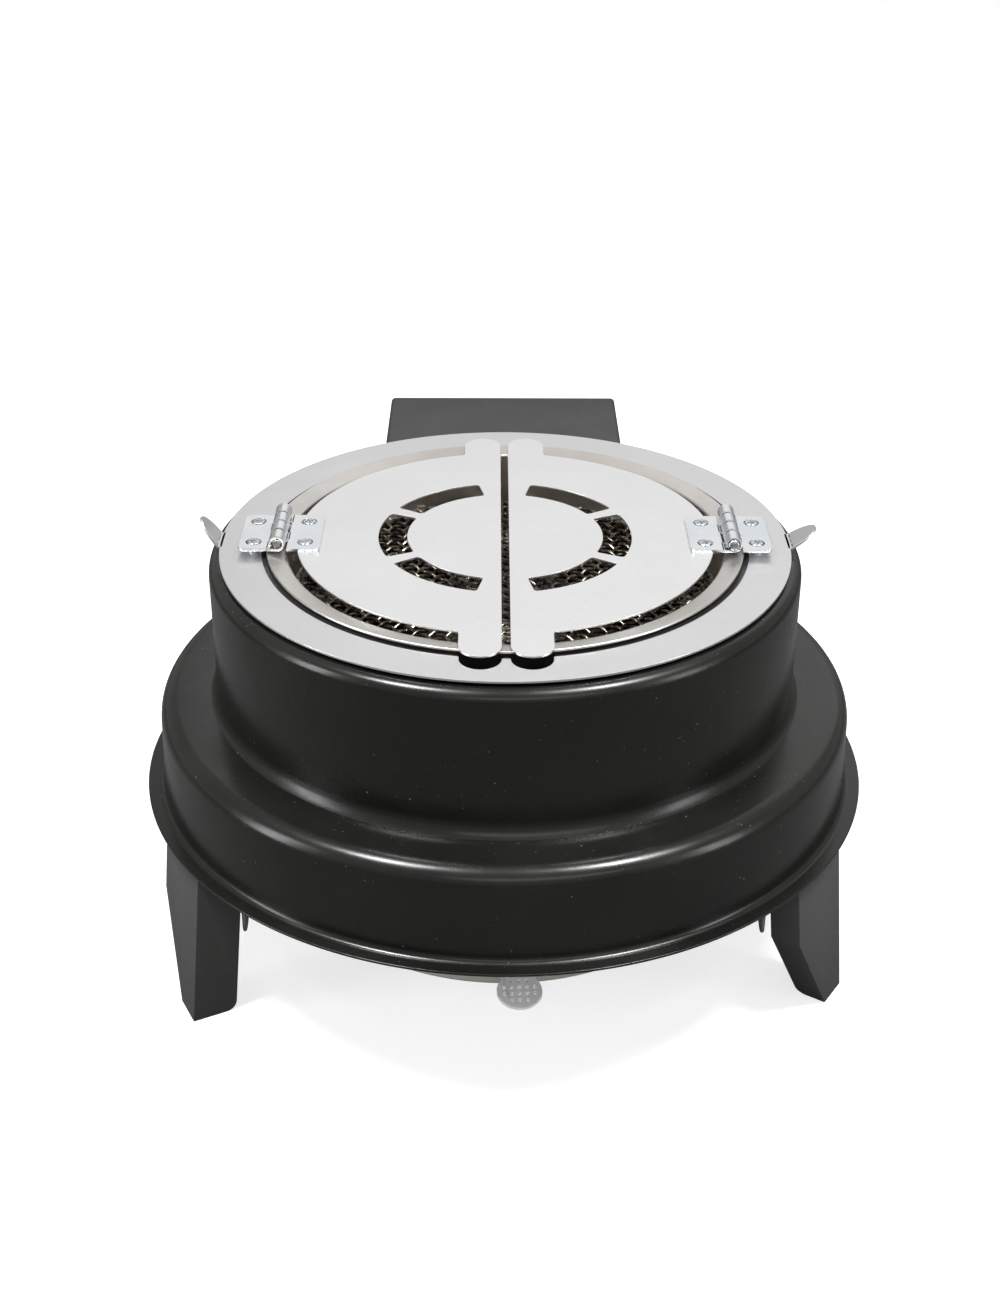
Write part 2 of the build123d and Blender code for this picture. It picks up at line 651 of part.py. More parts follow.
tube = rod_y(TUBE_R - 0.03, TUBE_SEAT_Y, TUBE_END_Y - 8.0, 0, TUBE_Z)
bell = Pos(0, TUBE_END_Y - 4.0, TUBE_Z) * Rot(-90, 0, 0) * Cone(TUBE_R - 0.03, TUBE_BELL_R, 8.0)
tube += bell
tube -= rod_y(TUBE_BORE_R, TUBE_SEAT_Y - 1, TUBE_END_Y - 8.0, 0, TUBE_Z)
tube -= Pos(0, TUBE_END_Y - 4.0, TUBE_Z) * Rot(-90, 0, 0) * Cone(TUBE_BORE_R, TUBE_BELL_R - 1.3, 8.001)
for side in (-1, 1):
    tube -= rod_x(3.2, min(0, side * 20), max(0, side * 20), TUBE_END_Y - 14.0, TUBE_Z)
save("mixing_tube", tube)

# ================================================================ gas train
jet = rod_y(5.0, VALVE_Y0 - 12.0, VALVE_Y0, 0, TUBE_Z)
jet += Pos(0, VALVE_Y0 - 15.0, TUBE_Z) * Rot(90, 0, 0) * Cone(5.0, 2.4, 6.0)
jet += hex_y(13.0, VALVE_Y0 - 8.0, VALVE_Y0 - 2.0, 0, TUBE_Z)
jet -= rod_y(0.6, VALVE_Y0 - 19, VALVE_Y0 - 15, 0, TUBE_Z)
jet -= rod_y(2.2, VALVE_Y0 - 15, VALVE_Y0 + 1, 0, TUBE_Z)
save("gas_jet", jet)

valve = block(-VALVE_HALF_W, VALVE_HALF_W, VALVE_Y0, VALVE_Y1, TUBE_Z - VALVE_HALF_H, TUBE_Z + VALVE_HALF_H)
valve = fillet(valve.edges().filter_by(Axis.Y), 3.0)
valve += rod_y(9.0, VALVE_Y1, BOX_REAR_Y, 0, TUBE_Z)
valve += rod_y(NECK_R, BOX_REAR_Y, BOX_END_Y + 4.5, 0, TUBE_Z)
valve -= rod_y(STEM_R + STEM_PLAY, VALVE_Y0 + 12.0, BOX_END_Y + 5.0, 0, TUBE_Z)
valve -= rod_y(2.2, VALVE_Y0 - 1, VALVE_Y0 + 13.0, 0, TUBE_Z)
valve -= rod_x(INLET_PIPE_R, -VALVE_HALF_W - 1, -VALVE_HALF_W + 5.0, VALVE_Y0 + 10.0, TUBE_Z)
valve -= rod_x(2.2, -VALVE_HALF_W, 0, VALVE_Y0 + 10.0, TUBE_Z)
save("gas_valve", valve)

nut = hex_y(17.0, BOX_END_Y, BOX_END_Y + 3.5, 0, TUBE_Z) - rod_y(NECK_R + 0.05, BOX_END_Y - 1, BOX_END_Y + 5, 0, TUBE_Z)
save("valve_nut", nut)

stem = rod_y(STEM_R, VALVE_Y0 + 13.0, KNOB_Y1 - 4.0, 0, TUBE_Z)
stem -= block(-4, 4, KNOB_Y0 + 0.5, KNOB_Y1, TUBE_Z + 1.8, TUBE_Z + 5)
save("valve_stem", stem)

knob = rod_y(KNOB_R, KNOB_Y0, KNOB_Y0 + 6.0, 0, TUBE_Z)
knob += Pos(0, (KNOB_Y0 + 6.0 + KNOB_Y1) / 2.0, TUBE_Z) * Rot(-90, 0, 0) * Cone(KNOB_R - 2.0, KNOB_R - 5.0, KNOB_Y1 - KNOB_Y0 - 6.0)
for side in (-1, 1):
    cut = block(min(side * 5.0, side * 30.0), max(side * 5.0, side * 30.0), KNOB_Y0 + 8.0, KNOB_Y1 + 1, TUBE_Z - 30, TUBE_Z + 30)
    knob -= cut
knob = fillet(knob.edges().filter_by(GeomType.CIRCLE).sort_by(Axis.Y)[0], 0.8)
socket = rod_y(STEM_R + 0.05, KNOB_Y0 - 1, KNOB_Y1 - 3.5, 0, TUBE_Z)
socket -= block(-4, 4, KNOB_Y0 + 0.5, KNOB_Y1, TUBE_Z + 1.85, TUBE_Z + 5)
knob -= socket
save("control_knob", knob)

elbow = rod_x(INLET_PIPE_R, INLET_X, -VALVE_HALF_W + 4.9, VALVE_Y0 + 10.0, TUBE_Z)
elbow += Pos(INLET_X, VALVE_Y0 + 10.0, TUBE_Z) * Sphere(INLET_PIPE_R + 1.0)
elbow += rod_y(INLET_PIPE_R, VALVE_Y0 + 10.0, BOX_REAR_Y - 4.0, INLET_X, TUBE_Z)
elbow += rod_y(10.0, BOX_REAR_Y - 4.0, BOX_REAR_Y, INLET_X, TUBE_Z)
elbow += rod_y(INLET_NECK_R, BOX_REAR_Y, BOX_END_Y + INLET_NUT_T, INLET_X, TUBE_Z)
elbow += rod_y(INLET_R, BOX_END_Y + INLET_NUT_T, INLET_END_Y, INLET_X, TUBE_Z)
elbow = chamfer(elbow.edges().filter_by(GeomType.CIRCLE).sort_by(Axis.Y)[-1], 1.4)
elbow -= rod_y(INLET_BORE_R, VALVE_Y0 + 10.0, INLET_END_Y + 1, INLET_X, TUBE_Z)
elbow -= rod_x(INLET_BORE_R, INLET_X, -VALVE_HALF_W + 6.0, VALVE_Y0 + 10.0, TUBE_Z)
save("inlet_elbow", elbow)

inlet_nut = hex_y(22.0, BOX_END_Y, BOX_END_Y + INLET_NUT_T, INLET_X, TUBE_Z)
inlet_nut -= rod_y(INLET_NECK_R + 0.05, BOX_END_Y - 1, BOX_END_Y + 6, INLET_X, TUBE_Z)
save("inlet_nut", inlet_nut)

# ================================================================ gas box
CLEAR_R = CYLINDER_R + BOX_GAP
COVER_TOP_Z = SHOULDER_Z + COVER_T
Y_NEAR = CYLINDER_R - 30.0
outer = block(-BOX_HALF_W, BOX_HALF_W, Y_NEAR, BOX_END_Y, COVER_TOP_Z, BOX_TOP_Z)
tops = outer.edges().filter_by(Axis.Y).sort_by(Axis.Z)[-2:]
outer = fillet(tops, BOX_BEND_R)
hollow = block(-BOX_HALF_W + BOX_T, BOX_HALF_W - BOX_T, Y_NEAR - 1, BOX_REAR_Y, COVER_TOP_Z - 1, BOX_TOP_Z - BOX_T)
box = outer - hollow
COVER_SCREWS = [(sx * (BOX_HALF_W - 6.0), y) for sx in (-1, 1) for y in (BOX_END_Y - 43.0, BOX_END_Y - 11.0)]
for side in (-1, 1):
    x_out = side * (BOX_HALF_W - 0.2)
    x_in = side * (BOX_HALF_W - BOX_LIP_W)
    box += block(min(x_out, x_in), max(x_out, x_in), BOX_END_Y - 53.0, BOX_REAR_Y + 0.2, COVER_TOP_Z, COVER_TOP_Z + BOX_T)
box -= rod(CLEAR_R, COVER_TOP_Z - 5, BOX_TOP_Z + 5)
box -= rod_y(NECK_R + 0.3, BOX_REAR_Y - 2, BOX_END_Y + 2, 0, TUBE_Z)
box -= rod_y(INLET_NECK_R + 0.3, BOX_REAR_Y - 2, BOX_END_Y + 2, INLET_X, TUBE_Z)
for side in (-1, 1):
    for k in range(5):
        y = BOX_END_Y - 57.0 + 10.0 * k
        x0 = side * BOX_HALF_W
        box -= block(x0 - 3, x0 + 3, y - 1.5, y + 1.5, BOX_TOP_Z - 26.5, BOX_TOP_Z - 10.5)
for x, y in COVER_SCREWS:
    box -= rod(RIVET_R + RIVET_PLAY, COVER_TOP_Z - 1, COVER_TOP_Z + BOX_T + 1, x, y)
save("gas_box", box)

cover = block(-BOX_HALF_W, BOX_HALF_W, Y_NEAR, BOX_END_Y, SHOULDER_Z, COVER_TOP_Z) - rod(CLEAR_R + 2.5, SHOULDER_Z - 5, COVER_TOP_Z + 5)
for x, y in BOX_SCREWS + COVER_SCREWS:
    cover -= rod(RIVET_R + RIVET_PLAY, SHOULDER_Z - 1, COVER_TOP_Z + 1, x, y)
save("gas_box_cover", cover)
save("box_rivets", group([rivet(x, y, SHOULDER_Z - SHELL_T, COVER_TOP_Z) for x, y in BOX_SCREWS]))
save("cover_rivets", group([rivet(x, y, SHOULDER_Z, COVER_TOP_Z + BOX_T) for x, y in COVER_SCREWS]))

# ================================================================ ash tray
tray_line = [(0.0, TRAY_BOTTOM_Z), (TRAY_R, TRAY_BOTTOM_Z), (TRAY_R, TRAY_LIP_Z), (TRAY_LIP_R, TRAY_LIP_Z)]
save("ash_tray", spun(tray_line, [0, 2.0, 0.6, 0], TRAY_T, 1))

fall = tan(radians(HANDLE_DROP))
end_r = HANDLE_CENTRE_R + HANDLE_R + 2.0
handle_line = [
    (TRAY_R + HANDLE_CLEAR, TRAY_LIP_Z),
    (TRAY_LIP_R, TRAY_LIP_Z),
    (end_r, TRAY_LIP_Z - (end_r - TRAY_LIP_R) * fall),
]
sheet = bent(handle_line, [0, 0, 0], HANGER_T, -1, 40.0)
shape = Pos(HANDLE_CENTRE_R, 0) * Circle(HANDLE_R)
shape += Pos((TRAY_R + HANDLE_CENTRE_R) / 2.0, 0) * Rectangle(HANDLE_CENTRE_R - TRAY_R, HANDLE_NECK_W)
handle = sheet & plate(shape, 0.0, 40.0)
for i in range(4):
    for j in range(5):
        if hypot((i - 1.5) * 3.6, (j - 2.0) * 3.3) < HANDLE_R - 1.6:
            x = HANDLE_CENTRE_R + (i - 1.5) * 3.6
            handle -= rod(0.7, 0, 40, x, (j - 2.0) * 3.3)
save("ash_tray_handle", Rot(0, 0, HANDLE_AZ) * handle)

# ================================================================ tray hangers
def hanger():
    """Right-hand bracket: top feet, two straps and the rail the tray lip runs on."""
    rail_z = TRAY_LIP_Z
    x_out = HANGER_X + HANGER_T / 2.0
    x_in = HANGER_X - HANGER_T / 2.0
    body = Part()
    for sy in (-1, 1):
        y = sy * HANGER_Y
        blank = block(x_in, x_out, y - HANGER_W / 2.0, y + HANGER_W / 2.0, HANGER_END_Z, BASE_BOTTOM_Z)
        ends = blank.edges().filter_by(Axis.X).sort_by(Axis.Z)[:2]
        blank = fillet(ends, HANGER_W / 2.0 - 0.5)
        body += blank
        foot = block(HANGER_X - 15.0, x_out, y - HANGER_W / 2.0, y + HANGER_W / 2.0, BASE_BOTTOM_Z - HANGER_T, BASE_BOTTOM_Z)
        body += foot
    ledge_top = rail_z - TRAY_PLAY
    body += block(x_in, x_out, -RAIL_HALF, RAIL_HALF, ledge_top - HANGER_T, rail_z + RAIL_H)
    body += block(RAIL_IN_X, x_out, -LEDGE_HALF, LEDGE_HALF, ledge_top - HANGER_T, ledge_top)
    for sy in (-1, 1):
        body -= rod(RIVET_R + RIVET_PLAY, BASE_BOTTOM_Z - 5, BASE_BOTTOM_Z + 5, HANGER_X - 8.0, sy * HANGER_Y)
    return body


one_hanger = hanger()
save("tray_hanger_right", one_hanger)
save("tray_hanger_left", Rot(0, 0, 180) * one_hanger)
save("hanger_rivets", group([rivet(x, y, BASE_BOTTOM_Z - HANGER_T, BASE_TOP_Z) for x, y in HANGER_SPOTS]))
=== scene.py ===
"""Looks of the gas burner for lighting charcoal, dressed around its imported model.

Lengths in the classes are millimetres, as on the drawing; meshes are metres.
"""

import logging
import math
from contextlib import contextmanager
from dataclasses import dataclass
from enum import Enum
from typing import Iterable, Iterator, Optional, Sequence

import bpy
from mathutils import Matrix, Vector


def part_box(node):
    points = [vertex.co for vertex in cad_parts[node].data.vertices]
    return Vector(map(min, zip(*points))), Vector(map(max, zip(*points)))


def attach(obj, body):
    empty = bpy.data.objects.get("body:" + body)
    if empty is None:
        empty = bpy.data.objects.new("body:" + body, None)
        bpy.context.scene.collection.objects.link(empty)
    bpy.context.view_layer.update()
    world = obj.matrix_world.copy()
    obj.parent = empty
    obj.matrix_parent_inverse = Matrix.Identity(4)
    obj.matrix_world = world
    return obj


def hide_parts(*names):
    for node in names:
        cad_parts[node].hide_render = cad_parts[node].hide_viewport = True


LOG = logging.getLogger("burner")
MM = 0.001
# Share of a sheet's gauge that its cut edges are rounded by.
BENT_EDGE = 0.35
# Sharpest edges, in degrees, that each kind of piece is shaded smooth across.
ROUND_ANGLE, PLATE_ANGLE, CLOTH_ANGLE = 32.0, 20.0, 60.0
EASED_ANGLE, PIN_ANGLE, SCREW_ANGLE = 34.0, 35.0, 30.0
# Turn between faces, in degrees, that still counts as flat.
FLAT_ANGLE = 1.0
# Distances in metres at which points are merged: on drawn pieces, packed ones and fine tips.
AS_DRAWN, PACKED, APART = 0.000004, 0.00001, 0.000001

Point = tuple[float, float]
Triple = tuple[float, float, float]
Outline = list[Point]
Piece = bpy.types.Object
Socket = bpy.types.NodeSocket
CENTRE: Point = (0.0, 0.0)

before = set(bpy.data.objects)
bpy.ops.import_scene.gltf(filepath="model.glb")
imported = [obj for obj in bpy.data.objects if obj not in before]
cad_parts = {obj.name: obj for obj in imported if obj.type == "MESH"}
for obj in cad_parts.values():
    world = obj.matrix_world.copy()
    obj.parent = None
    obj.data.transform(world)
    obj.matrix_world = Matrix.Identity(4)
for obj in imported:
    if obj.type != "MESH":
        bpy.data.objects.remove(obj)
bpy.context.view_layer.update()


# ----- outlines
def polar(radius: float, angle: float) -> Point:
    """Point at a radius and an angle in degrees."""
    turn = math.radians(angle)
    return radius * math.cos(turn), radius * math.sin(turn)


def arc(centre: Point, radius: float, start: float, end: float, step: float = 4.0) -> Outline:
    """Points along an arc.

    Args:
        centre: centre of the arc.
        radius: its radius.
        start: first angle in degrees.
        end: last angle in degrees, past or short of the first.
        step: widest angle between two points.

    Returns:
        The points, both ends included.
    """
    count = max(2, int(math.ceil(abs(end - start) / step)))
    spots = (polar(radius, start + (end - start) * index / count) for index in range(count + 1))
    return [(centre[0] + x, centre[1] + y) for x, y in spots]


def circle(centre: Point, radius: float, count: int) -> Outline:
    """Closed circle of evenly spaced points."""
    return arc(centre, radius, 0.0, 360.0, 360.0 / count)[:-1]


def rounded(points: Sequence[Point], radii: Sequence[float], step: float = 9.0) -> Outline:
    """Rounds the corners of a closed line.

    Args:
        points: corner points.
        radii: a radius for each corner, 0 for a sharp one.
        step: widest angle between two points of a rounded corner.

    Returns:
        The line with its corners rounded.
    """
    count = len(points)
    line: Outline = []
    for index, (point, radius) in enumerate(zip(points, radii)):
        if radius <= 0.0:
            line.append(point)
            continue
        before = Vector(points[index - 1]) - Vector(point)
        after = Vector(points[(index + 1) % count]) - Vector(point)
        before.normalize()
        after.normalize()
        half = before.angle(after) / 2.0
        reach = radius / math.tan(half)
        middle = (before + after).normalized() * (radius / math.sin(half)) + Vector(point)
        start = Vector(point) + before * reach - middle
        end = Vector(point) + after * reach - middle
        first = math.degrees(math.atan2(start.y, start.x))
        turn = math.degrees(math.atan2(end.y, end.x)) - first
        turn = (turn + 180.0) % 360.0 - 180.0
        line.extend(arc((middle.x, middle.y), radius, first, first + turn, step))
    return line


def sheet_outline(points: Sequence[Point], radii: Sequence[float], gauge: float, side: int) -> Outline:
    """Outline of bent sheet from the line of one of its faces.

    Args:
        points: corners of the drawn face.
        radii: bend radius at each corner of the drawn face.
        gauge: thickness of the sheet.
        side: +1 to thicken to the left of the line, -1 to its right.

    Returns:
        The closed outline, with its bends rounded on both faces.
    """
    far: Outline = []
    far_radii: list[float] = []
    for index, point in enumerate(points):
        normals: list[Vector] = []
        for a, b in ((index - 1, index), (index, index + 1)):
            if 0 <= a and b < len(points):
                run = (Vector(points[b]) - Vector(points[a])).normalized()
                normals.append(Vector((-run.y, run.x)) * side)
        if len(normals) == 1:
            moved = Vector(point) + normals[0] * gauge
            far_radii.append(0.0)
        else:
            moved = Vector(point) + (normals[0] + normals[1]) * (gauge / (1.0 + normals[0].dot(normals[1])))
            turn = normals[0].cross(normals[1]) * side
            far_radii.append(max(radii[index] - gauge * (1 if turn > 0 else -1), 0.0))
        far.append((moved.x, moved.y))
    edge = gauge * BENT_EDGE
    near_radii = [edge] + list(radii[1:-1]) + [edge]
    far_radii[0] = edge
    far_radii[-1] = edge
    return rounded(list(points) + far[::-1], near_radii + far_radii[::-1])


# ----- modelling
def deselect() -> None:
    """Clears the selection before an operator works on a piece."""
    if bpy.context.object is not None and bpy.context.object.mode != "OBJECT":
        bpy.ops.object.mode_set(mode="OBJECT")
    bpy.ops.object.select_all(action="DESELECT")


def pick(piece: Piece) -> None:
    """Makes a piece the only selected and active object.

    Args:
        piece: the piece.
    """
    deselect()
    bpy.context.view_layer.objects.active = piece
    piece.select_set(True)


@contextmanager
def editing(piece: Piece) -> Iterator[None]:
    """Opens a piece in edit mode with all of it selected, and closes it after.

    Args:
        piece: the piece.

    Yields:
        Nothing, once the piece is open.
    """
    pick(piece)
    bpy.ops.object.mode_set(mode="EDIT")
    bpy.ops.mesh.select_all(action="SELECT")
    yield
    bpy.ops.object.mode_set(mode="OBJECT")


def settle(piece: Piece) -> Piece:
    """Applies a piece's place, turn and scale to its mesh.

    Args:
        piece: the piece.

    Returns:
        The same piece.
    """
    pick(piece)
    bpy.ops.object.transform_apply(location=True, rotation=True, scale=True)
    return piece


def smooth(piece: Piece, angle: float = ROUND_ANGLE) -> Piece:
    """Shades a piece smooth, except across edges sharper than an angle.

    Args:
        piece: the piece.
        angle: the angle in degrees.

    Returns:
        The same piece.
    """
    pick(piece)
    bpy.ops.object.shade_smooth_by_angle(angle=math.radians(angle))
    return piece


def merge(piece: Piece, distance: float = AS_DRAWN, outward: bool = False) -> Piece:
    """Merges points closer than a distance, and turns the faces outward where asked.

    Args:
        piece: the piece.
        distance: the distance in metres.
        outward: whether the faces are turned.

    Returns:
        The same piece.
    """
    with editing(piece):
        bpy.ops.mesh.remove_doubles(threshold=distance)
        if outward:
            bpy.ops.mesh.normals_make_consistent(inside=False)
        bpy.ops.mesh.select_all(action="DESELECT")
    return piece


def join(name: str, pieces: Sequence[Piece]) -> Piece:
    """Joins meshes into the first of them and names it.

    Args:
        name: its new name.
        pieces: the meshes.

    Returns:
        The joined piece.
    """
    pick(pieces[0])
    for piece in pieces:
        piece.select_set(True)
    bpy.ops.object.join()
    pieces[0].name = name
    pieces[0].data.name = name
    return pieces[0]


def copy_of(piece: Piece, matrix: Matrix, name: str = "copy") -> Piece:
    """Copies a piece with a mesh of its own, moved by a matrix.

    Args:
        piece: the piece to copy.
        matrix: a turn or a shift.
        name: name of the copy.

    Returns:
        The copy.
    """
    twin = bpy.data.objects.new(name, piece.data.copy())
    bpy.context.collection.objects.link(twin)
    twin.data.transform(matrix)
    return twin


def modified(piece: Piece, kind: str, **settings: object) -> Piece:
    """Adds one modifier with its settings and applies it.

    Args:
        piece: the piece.
        kind: type of the modifier.
        settings: its settings by name.

    Returns:
        The same piece.
    """
    pick(piece)
    modifier = piece.modifiers.new(kind.title(), kind)
    for key, value in settings.items():
        setattr(modifier, key, value)
    bpy.ops.object.modifier_apply(modifier=modifier.name)
    return piece


def cut(piece: Piece, cutter: Piece) -> Piece:
    """Takes a cutter away from a piece and uses it up.

    Args:
        piece: the piece.
        cutter: the cutter.

    Returns:
        The cut piece.
    """
    modified(piece, "BOOLEAN", operation="DIFFERENCE", object=cutter, solver="EXACT")
    bpy.data.objects.remove(cutter)
    return piece


def turned(rings: Sequence[Point], axis_y: float, segments: int, fill: str = "NOTHING") -> Piece:
    """Extrudes a circle upwards and sizes it, ring by ring.

    Args:
        rings: radius and height of each ring, in millimetres.
        axis_y: depth of the upright axis in metres.
        segments: points round each ring.
        fill: how the first circle is filled.

    Returns:
        The piece, with its place in its mesh.
    """
    radius, height = rings[0]
    deselect()
    bpy.ops.mesh.primitive_circle_add(
        vertices=segments, radius=radius * MM, location=(0.0, axis_y, height * MM), fill_type=fill
    )
    piece = bpy.context.object
    with editing(piece):
        for wide, high in rings[1:]:
            bpy.ops.mesh.extrude_region_move(TRANSFORM_OT_translate={"value": (0.0, 0.0, (high - height) * MM)})
            ratio = wide / radius
            bpy.ops.transform.resize(value=(ratio, ratio, 1.0), center_override=(0.0, axis_y, high * MM))
            radius, height = wide, high
    return settle(piece)


def lathe(name: str, profile: Outline, segments: int) -> Piece:
    """Draws a closed profile round the housing axis and shades it smooth.

    Args:
        name: name of the piece.
        profile: radius and height of its corners, in millimetres.
        segments: points round each ring.

    Returns:
        The piece.
    """
    piece = turned(profile + profile[:1], AXIS_Y, segments)
    piece.name = name
    return smooth(merge(piece, outward=True))


def meshed(name: str, curve: bpy.types.Curve) -> Piece:
    """Turns a drawn curve into a mesh.

    Args:
        name: name of the piece.
        curve: the curve, which is used up.

    Returns:
        The mesh piece.
    """
    piece = bpy.data.objects.new(name, curve)
    bpy.context.collection.objects.link(piece)
    pick(piece)
    bpy.ops.object.convert(target="MESH")
    return bpy.context.object


def flat_piece(name: str, outlines: Sequence[Outline], low: float, high: float, edge: float) -> Piece:
    """Plate with holes and eased edges, lying flat.

    Args:
        name: name of the piece.
        outlines: outer outline and holes about the housing axis, in millimetres.
        low: height of the lower face.
        high: height of the upper face.
        edge: radius of the eased edges.

    Returns:
        The plate as a mesh.
    """
    drawing = bpy.data.curves.new(name, "CURVE")
    drawing.dimensions = "2D"
    drawing.fill_mode = "BOTH"
    for outline in outlines:
        spline = drawing.splines.new("POLY")
        spline.points.add(len(outline) - 1)
        for spot, (x, y) in zip(spline.points, outline):
            spot.co = (x * MM, y * MM, 0.0, 1.0)
        spline.use_cyclic_u = True
    drawing.extrude = ((high - low) / 2.0 - edge) * MM
    drawing.bevel_depth = edge * MM
    drawing.offset = -edge * MM
    drawing.bevel_resolution = 1
    piece = meshed(name, drawing)
    piece.data.transform(Matrix.Translation((0.0, 0.0, (low + high) / 2.0 * MM)))
    return smooth(merge(piece), PLATE_ANGLE)


def about_axis(piece: Piece) -> Piece:
    """Moves a piece drawn about the housing axis to its place."""
    piece.data.transform(Matrix.Translation((0.0, AXIS_Y, 0.0)))
    return piece


def upright_turn(degrees: float) -> Matrix:
    """Turn about the upright axis."""
    return Matrix.Rotation(math.radians(degrees), 4, "Z")


def cross_section(name: str, outlines: Sequence[Outline], near: float, far: float, edge: float) -> Piece:
    """Piece drawn in X and Z and run along Y between two depths.

    Args:
        name: name of the piece.
        outlines: outer outline and holes in X and Z, in millimetres.
        near: the first depth.
        far: the second depth.
        edge: radius of the eased edges.

    Returns:
        The piece as a mesh.
    """
    piece = flat_piece(name, outlines, near, far, edge)
    piece.data.transform(Matrix(((1, 0, 0, 0), (0, 0, 1, 0), (0, 1, 0, 0), (0, 0, 0, 1))))
    piece.data.flip_normals()
    return piece


def mid(node: str) -> Vector:
    """Middle of a node's box."""
    low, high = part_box(node)
    return (Vector(low) + Vector(high)) / 2.0


AXIS_Y = mid("housing_shell").y


# ----- node trees
class Coat:
    """Node tree of one finish, with short ways to add what it needs."""

    def __init__(self, name: str) -> None:
        """Starts a material with an empty Principled surface.

        Args:
            name: name of the material.
        """
        self.material = bpy.data.materials.new(name)
        self.material.use_nodes = True
        self.tree = self.material.node_tree
        self.surface = self.tree.nodes["Principled BSDF"]
        self.coordinates = self.tree.nodes.new("ShaderNodeTexCoord").outputs["Object"]

    @staticmethod
    def fill(node: bpy.types.Node, **values: object) -> bpy.types.Node:
        """Sets a node's sockets, named with underscores for spaces.

        Args:
            node: the node.
            values: a value for each socket.

        Returns:
            The same node.
        """
        for key, value in values.items():
            node.inputs[key.replace("_", " ")].default_value = value
        return node

    def set(self, **values: object) -> None:
        """Sets sockets of the surface."""
        self.fill(self.surface, **values)

    def add(self, kind: str, **settings: object) -> bpy.types.Node:
        """Adds a node of a kind with its settings.

        Args:
            kind: its type, without the word that all share.
            settings: its settings by name.

        Returns:
            The node.
        """
        node = self.tree.nodes.new("ShaderNode" + kind)
        for key, value in settings.items():
            setattr(node, key, value)
        return node

    def link(self, source: Socket, target: Socket) -> None:
        """Joins two sockets."""
        self.tree.links.new(source, target)

    def place(self, shift: Triple = (0.0, 0.0, 0.0), scale: Triple = (1.0, 1.0, 1.0)) -> Socket:
        """Shifts the pattern space by metres, then scales it.

        Args:
            shift: the shift.
            scale: scale along each axis.

        Returns:
            The placed coordinates.
        """
        moved = tuple(s * k for s, k in zip(shift, scale))
        node = self.fill(self.add("Mapping"), Location=moved, Scale=scale)
        self.link(self.coordinates, node.inputs["Vector"])
        return node.outputs["Vector"]

    def noise(self, scale: float, detail: float = 4.0, roughness: float = 0.55,
              vector: Optional[Socket] = None) -> Socket:
        """Adds noise at a scale per metre and returns its value.

        Args:
            scale: its scale.
            detail: number of finer layers.
            roughness: share of the finer layers.
            vector: coordinates, the piece's own where not given.

        Returns:
            Its value, from 0 to 1.
        """
        node = self.fill(self.add("TexNoise"), Scale=scale, Detail=detail, Roughness=roughness)
        self.link(vector if vector is not None else self.coordinates, node.inputs["Vector"])
        return node.outputs["Fac"]

    def remap(self, value: Socket, low: float, high: float, to_low: float = 0.0, to_high: float = 1.0) -> Socket:
        """Maps one range of a value to another, clamped.

        Args:
            value: the value.
            low: start of its range.
            high: end of its range.
            to_low: result at the start.
            to_high: result at the end.

        Returns:
            The result.
        """
        node = self.fill(self.add("MapRange"), From_Min=low, From_Max=high, To_Min=to_low, To_Max=to_high)
        self.link(value, node.inputs["Value"])
        return node.outputs["Result"]

    def mix(self, share: Socket, first: object, second: object) -> Socket:
        """Mixes two colours, each given as a value or a socket.

        Args:
            share: share of the second.
            first: the first colour.
            second: the second colour.

        Returns:
            The mixed colour.
        """
        node = self.add("Mix", data_type="RGBA")
        self.link(share, node.inputs["Factor"])
        for key, colour in (("A", first), ("B", second)):
            socket = [s for s in node.inputs if s.name == key and s.type == "RGBA"][0]
            if isinstance(colour, Socket):
                self.link(colour, socket)
            else:
                socket.default_value = tuple(colour) + (1.0,)
        return [s for s in node.outputs if s.type == "RGBA"][0]

    def calculate(self, operation: str, first: object, second: object = 0.0) -> Socket:
        """Does one sum on sockets or numbers.

        Args:
            operation: the sum.
            first: first term.
            second: second term, where it has one.

        Returns:
            The result.
        """
        node = self.add("Math", operation=operation)
        for index, value in enumerate((first, second)):
            if isinstance(value, Socket):
                self.link(value, node.inputs[index])
            else:
                node.inputs[index].default_value = value
        return node.outputs["Value"]

    def bump(self, height: Socket, strength: float, depth: float) -> None:
        """Adds relief of a depth in metres.

        Args:
            height: its height map.
            strength: its strength.
            depth: its depth.
        """
        node = self.fill(self.add("Bump"), Strength=strength, Distance=depth)
        self.link(height, node.inputs["Height"])
        self.link(node.outputs["Normal"], self.surface.inputs["Normal"])

    def spread(self) -> tuple[Socket, Socket, Socket]:
        """Distance from the housing axis, angle round it, and height.

        Returns:
            The three, as sockets.
        """
        parts = self.add("SeparateXYZ")
        self.link(self.place((0.0, -AXIS_Y, 0.0)), parts.inputs["Vector"])
        x, y, z = (parts.outputs[k] for k in ("X", "Y", "Z"))
        squares = self.calculate("ADD", self.calculate("MULTIPLY", x, x), self.calculate("MULTIPLY", y, y))
        return self.calculate("SQRT", squares), self.calculate("ARCTAN2", y, x), z

    def paint(self, colour: Socket) -> None:
        """Gives the surface its colour."""
        self.link(colour, self.surface.inputs["Base Color"])

    def roughen(self, rough: Socket) -> None:
        """Gives the surface its roughness."""
        self.link(rough, self.surface.inputs["Roughness"])


# ----- finishes
class Grain(Enum):
    """Which way a brushed finish runs."""

    ALONG_X = "x"
    ROUND = "round"
    UPRIGHT = "upright"


